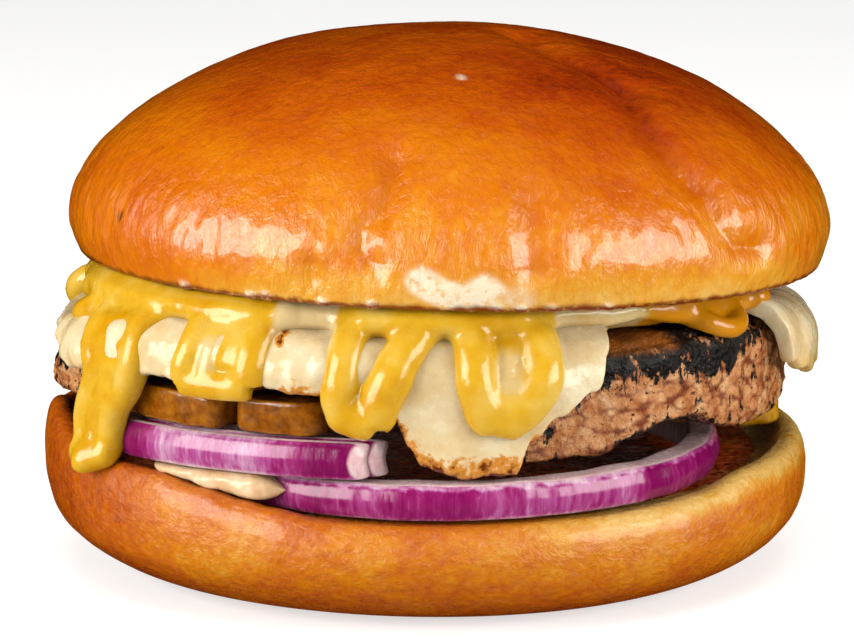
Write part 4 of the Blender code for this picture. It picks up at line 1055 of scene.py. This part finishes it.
def pickle(node, degrees, middle, half_width, half_depth, level, tilt, thick):
    unit, edge, thick = 7 * MM, 0.7 * MM, thick * MM
    profile = [(unit * share, thick) for share in (0, 0.2, 0.4, 0.55, 0.68, 0.78, 0.85)]
    profile += quarter((unit - edge, thick), (unit, thick - edge), 6)
    profile += [(unit, thick * share) for share in (0.7, 0.58, 0.46, 0.34)]
    lower = quarter((unit - edge, 0), (unit, edge), 6)
    profile += lower[::-1] + [(unit * share, 0) for share in (0.85, 0.75, 0.6, 0.4, 0.2, 0)]
    radius, height = columns(profile)
    turns = all_round(150)
    along, across = np.abs(np.sin(turns)), np.abs(np.cos(turns))
    squarer = (along**PICKLE_POWER + across**PICKLE_POWER) ** (-1 / PICKLE_POWER)
    points = polar(radius * squarer, turns, height)
    points[..., 0] *= half_width * MM / unit
    points[..., 1] *= half_depth * MM / unit
    bumps = 0.18 * MM * lumps(points, 2.8 * MM, seed=middle)
    bumps = bumps + 0.05 * MM * lumps(points, 1.2 * MM, seed=middle)
    rim = eased((radius / unit - 0.8) / 0.2) * np.ones_like(turns)
    points[..., :2] *= (1 - 0.02 * (1 + lumps(points, 2.0 * MM, seed=level)) * rim)[..., None]
    points[..., 2] += bumps - 0.2 * MM * rim * lumps(points, 3.0 * MM)
    skin = band(height / thick, 0.12, 0.9, 0.1) * (radius > unit * 0.97) * np.ones_like(turns)
    bearing = math.radians(degrees)
    turn = np.array(Euler((-math.radians(tilt), 0, bearing)).to_matrix())
    placed = points @ turn.T + polar(middle * MM, bearing, level * MM)
    green = np.full(skin.shape, 0.9 if node == "pickle_right" else 0.1)
    return stands_for(turned_skin(node + "_chip", placed, skin=skin, green=green), "pickle", node)


# Sauce

def cover_radius(bearing, height):
    """How far out the patty and its cheese reach at this height."""
    rim = by_bearing(PATTY_RADIUS, bearing)
    first, last, soft, share = SAUCE_BARE
    bare = share * band(np.degrees(bearing), first, last, soft)
    reach = PATTY_SHOULDER + CHEESE_LIFT + CHEESE_THICK * (1 - bare)
    above = height - (patty_level(bearing, 1.0, 1) - PATTY_SHOULDER)
    return rim - PATTY_SHOULDER + np.sqrt(np.maximum(reach**2 - np.maximum(above, 0.0) ** 2, 0.0))


def smoothed(stops, per_span=6):
    """Stops of a smooth curve through these."""
    ends = [stops[0], *stops, stops[-1]]
    points = []
    for before, start, end, after in zip(ends, ends[1:], ends[2:], ends[3:]):
        for t in np.arange(per_span) / per_span:
            points.append(tuple(
                0.5 * (2 * b + (c - a) * t + (2 * a - 5 * b + 4 * c - d) * t * t
                       + (3 * b - a - 3 * c + d) * t**3)
                for a, b, c, d in zip(before, start, end, after)))
    return points + [stops[-1]]


def tube(points, widths):
    """A round tube through points, as wide as widths say, in metres, with round ends."""
    curve = bpy.data.curves.new("strand", "CURVE")
    curve.dimensions = "3D"
    curve.bevel_depth = 1.0
    curve.bevel_resolution = 5
    curve.use_fill_caps = True
    spline = curve.splines.new("POLY")
    spline.points.add(len(points) - 1)
    for slot, place, width in zip(spline.points, points, widths):
        slot.co = (*place, 1)
        slot.radius = width
    obj = linked("strand", curve)
    bpy.context.view_layer.update()
    mesh = bpy.data.meshes.new_from_object(obj.evaluated_get(bpy.context.evaluated_depsgraph_get()))
    bpy.data.objects.remove(obj, do_unlink=True)
    return linked("strand", mesh)


def strand(route):
    """A tube along stops of bearing, height and half width, laid on the food."""
    points = smoothed(route)
    bearing = np.radians([point[0] for point in points])
    height = np.array([point[1] for point in points]) * MM
    width = [point[2] * MM for point in points]
    low, high, out = SAUCE_DRIP
    drip = out * eased((high - height) / (high - low)) - SAUCE_SUNK
    return tube(polar(cover_radius(bearing, height) + drip, bearing, height), width)


def joined(name, pieces):
    with bpy.context.temp_override(active_object=pieces[0], selected_editable_objects=pieces):
        bpy.ops.object.join()
    pieces[0].name = name
    pieces[0].data.name = name
    return pieces[0]


def blended(obj, voxel, rounds):
    """Joins the mesh's overlapping parts into one smooth skin."""
    remesh = obj.modifiers.new("Blend", "REMESH")
    remesh.mode = "VOXEL"
    remesh.voxel_size = voxel
    remesh.use_smooth_shade = True
    smooth = obj.modifiers.new("Smooth", "SMOOTH")
    smooth.factor = 0.5
    smooth.iterations = rounds
    return with_modifiers_applied(obj)


def sauce_routes():
    routes = list(SAUCE_STRANDS.values())
    for first, last, lowest in SAUCE_BACK_LOOPS:
        middle = (first + last) / 2
        for side in (first, last):
            lean = middle + (side - middle) * 0.8
            routes.append([(side, 41.5, 2.6), (side, 38.0, 2.4), (lean, (38 + lowest) / 2, 2.3),
                           (middle, lowest, 2.4)])
    return routes


def sauce_pool():
    unit = 50 * MM
    profile = [(radius, SAUCE_POOL_TOP) for radius in (0, unit * 0.6, unit - 2 * MM)]
    profile += [(unit, height) for height in SAUCE_POOL_EDGE]
    profile += [(radius, SAUCE_POOL_BOTTOM) for radius in (unit - 3 * MM, unit * 0.5, 0)]
    radius, height = columns(profile)
    bearings = all_round(144)
    wide = by_bearing(SAUCE_POOL_RADIUS, bearings) / unit
    return facing_out(turned_skin("pool", polar(radius * wide, bearings, height)))


def under_crown(points, clearance):
    """The points, none of them higher than this far below the crown's cut face."""
    up = np.array(CROWN_TURN.to_matrix())[:, 2]
    middle = np.array(CROWN_PLACE) - up * CROWN_DROP
    face = middle[2] - (points[:, :2] - middle[:2]) @ up[:2] / up[2]
    lowered = points.copy()
    lowered[:, 2] = np.minimum(points[:, 2], face - clearance)
    return lowered


def sauce():
    pieces = [sauce_pool()] + [strand(route) for route in sauce_routes()]
    obj = blended(joined("sauce", pieces), SAUCE_VOXEL, SAUCE_SMOOTHING)
    points = places(obj)
    bearing, radius = bearing_of(points), np.linalg.norm(points[:, :2], axis=1)
    soft = 0.22 * MM * lumps(points, 6 * MM, seed=5.0) + 0.08 * MM * lumps(points, 2.6 * MM, seed=6.0)
    points = points + normals(obj) * (soft * eased(radius / (40 * MM)))[:, None]
    outside = 0.7 * MM * eased((radius - 53 * MM) / (3 * MM))
    place_at(obj, under_crown(points, 0.12 * MM + outside))
    degrees, height = turned_by(bearing, 0), points[:, 2] / MM
    stained = 0.9 * band(degrees, 40, 80, 4)
    milky = band(degrees, -22.5, -15.5, 3) * eased((height - 38) / 2)
    milky = np.maximum(milky, 0.7 * band(degrees, 22, 37, 3))
    window = oval(degrees, height, (-33, 37), (2.0, 2.6), 4)
    window = np.maximum(window, 0.9 * oval(degrees, height, (12.3, 36.5), (2.4, 3.6), 4))
    milky = np.maximum(milky, 0.65 * window)
    paint(obj, stained=stained, milky=milky)
    return stands_for(obj, "sauce", "cheese_sauce")


# Small things

def mayonnaise_smear():
    """The cream squeezed out between the heel's rim and the left arc."""
    first, last = np.radians(SMEAR_SPAN)
    bearings = np.linspace(first, last, 180)[:, None]
    turns = all_round(36)
    low = by_bearing(HEEL_RIM, bearings) - 0.1 * MM
    high = left_level(bearings) - 0.1 * MM
    end = np.minimum(bearings - first, last - bearings) * 52 * MM
    full = np.sqrt(eased(end / (5 * MM)))
    tall = np.maximum(high - low, 0.8 * MM) / 2 * full
    wide = SMEAR_HALF_WIDTH * full
    out, up = np.sin(turns), np.cos(turns)
    radius = SMEAR_RADIUS + wide * np.sign(out) * np.abs(out) ** 0.7
    height = (low + high) / 2 + tall * np.sign(up) * np.abs(up) ** 0.7
    points = polar(radius, bearings, height)
    outer = eased((radius - SMEAR_RADIUS) / (2 * MM)) * full
    wavy = 0.55 * lumps(points, 3.6 * MM, seed=3.0) + 0.25 * lumps(points, 1.5 * MM, seed=4.0)
    droop = 0.9 * MM * np.maximum(lumps(points, 5 * MM, seed=9.0), 0) * outer
    points = polar(radius + wavy * MM * outer, bearings, height - droop * eased((high - height) / MM))
    return stands_for(swept_skin("mayonnaise_smear", points, False), "sauce", look="mayonnaise")


# Stage

def floor():
    mesh = bpy.data.meshes.new("floor")
    corners = [(-1, -1), (1, -1), (1, 1), (-1, 1)]
    mesh.from_pydata([(x * FLOOR_REACH, y * FLOOR_REACH, 0) for x, y in corners], [], [(0, 1, 2, 3)])
    obj = linked("floor", mesh)
    shader = Shader("floor", Roughness=0.9, Specular_IOR_Level=0.1, Emission_Strength=FLOOR_GLOW,
                    Emission_Color=(1.0, 1.0, 1.0, 1.0))
    greys = [(position, (grey, grey, grey, 1)) for position, grey in ((0.3, 0.44), (0.7, 0.46))]
    tone = shader.ramp(shader.noise(200 * MM, 2.0), greys)
    shader.put(shader.surface, "Base Color", tone)
    obj.data.materials.append(shader.made)
    obj.visible_glossy = False
    obj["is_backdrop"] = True


def softbox(name, azimuth, elevation, distance, wide, tall, watts, gleams):
    lamp = bpy.data.lights.new(name, "AREA")
    lamp.shape = "RECTANGLE"
    lamp.size, lamp.size_y = wide, tall
    lamp.energy = watts
    lamp.color = LAMP_COLOUR
    obj = linked(name, lamp)
    obj.visible_glossy = gleams
    turn, lift = math.radians(azimuth), math.radians(elevation)
    away = Vector((math.sin(turn) * math.cos(lift), -math.cos(turn) * math.cos(lift), math.sin(lift)))
    away *= distance
    obj.location = LAMP_AIM + away
    obj.rotation_euler = (-away).to_track_quat("-Z", "Y").to_euler()


def studio():
    world = bpy.data.worlds.new("studio")
    world.use_nodes = True
    background = world.node_tree.nodes["Background"]
    background.inputs["Color"].default_value = (1.0, 1.0, 1.0, 1)
    background.inputs["Strength"].default_value = WORLD_STRENGTH
    bpy.context.scene.world = world
    world.cycles_visibility.glossy = False
    for name, values in SOFTBOXES.items():
        softbox(name, *values)
    scene = bpy.context.scene
    scene.view_settings.view_transform = "Standard"
    scene.view_settings.look = "None"


def camera():
    lens = bpy.data.cameras.new("camera")
    lens.sensor_width = 36
    lens.lens = CAMERA_LENS
    lens.clip_end = 20
    obj = linked("camera", lens)
    obj.location = CAMERA_PLACE
    obj.rotation_euler = (CAMERA_AIM - CAMERA_PLACE).to_track_quat("-Z", "Y").to_euler()
    bpy.context.scene.camera = obj


camera()
studio()
floor()
heel()
crown()
patty()
cheese()
onion_ring()
first, last, outer = LEFT_ARC
onion_arc("onion_left_outer", "onion_arc_left_outer", first, last, outer, outer, left_level)
onion_arc("onion_left_inner", "onion_arc_left_inner", first, last, outer - ONION_LAYER, outer, left_level)
first, last, outer = BACK_ARC
onion_arc("onion_back", "onion_arc_back", first, last, outer, outer, back_level)
for chip, sizes in PICKLES.items():
    pickle(chip, *sizes)
sauce()
mayonnaise_smear()

sizes = {"cad": [list(corner) for corner in cad_box], "visual": [list(corner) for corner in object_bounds()]}
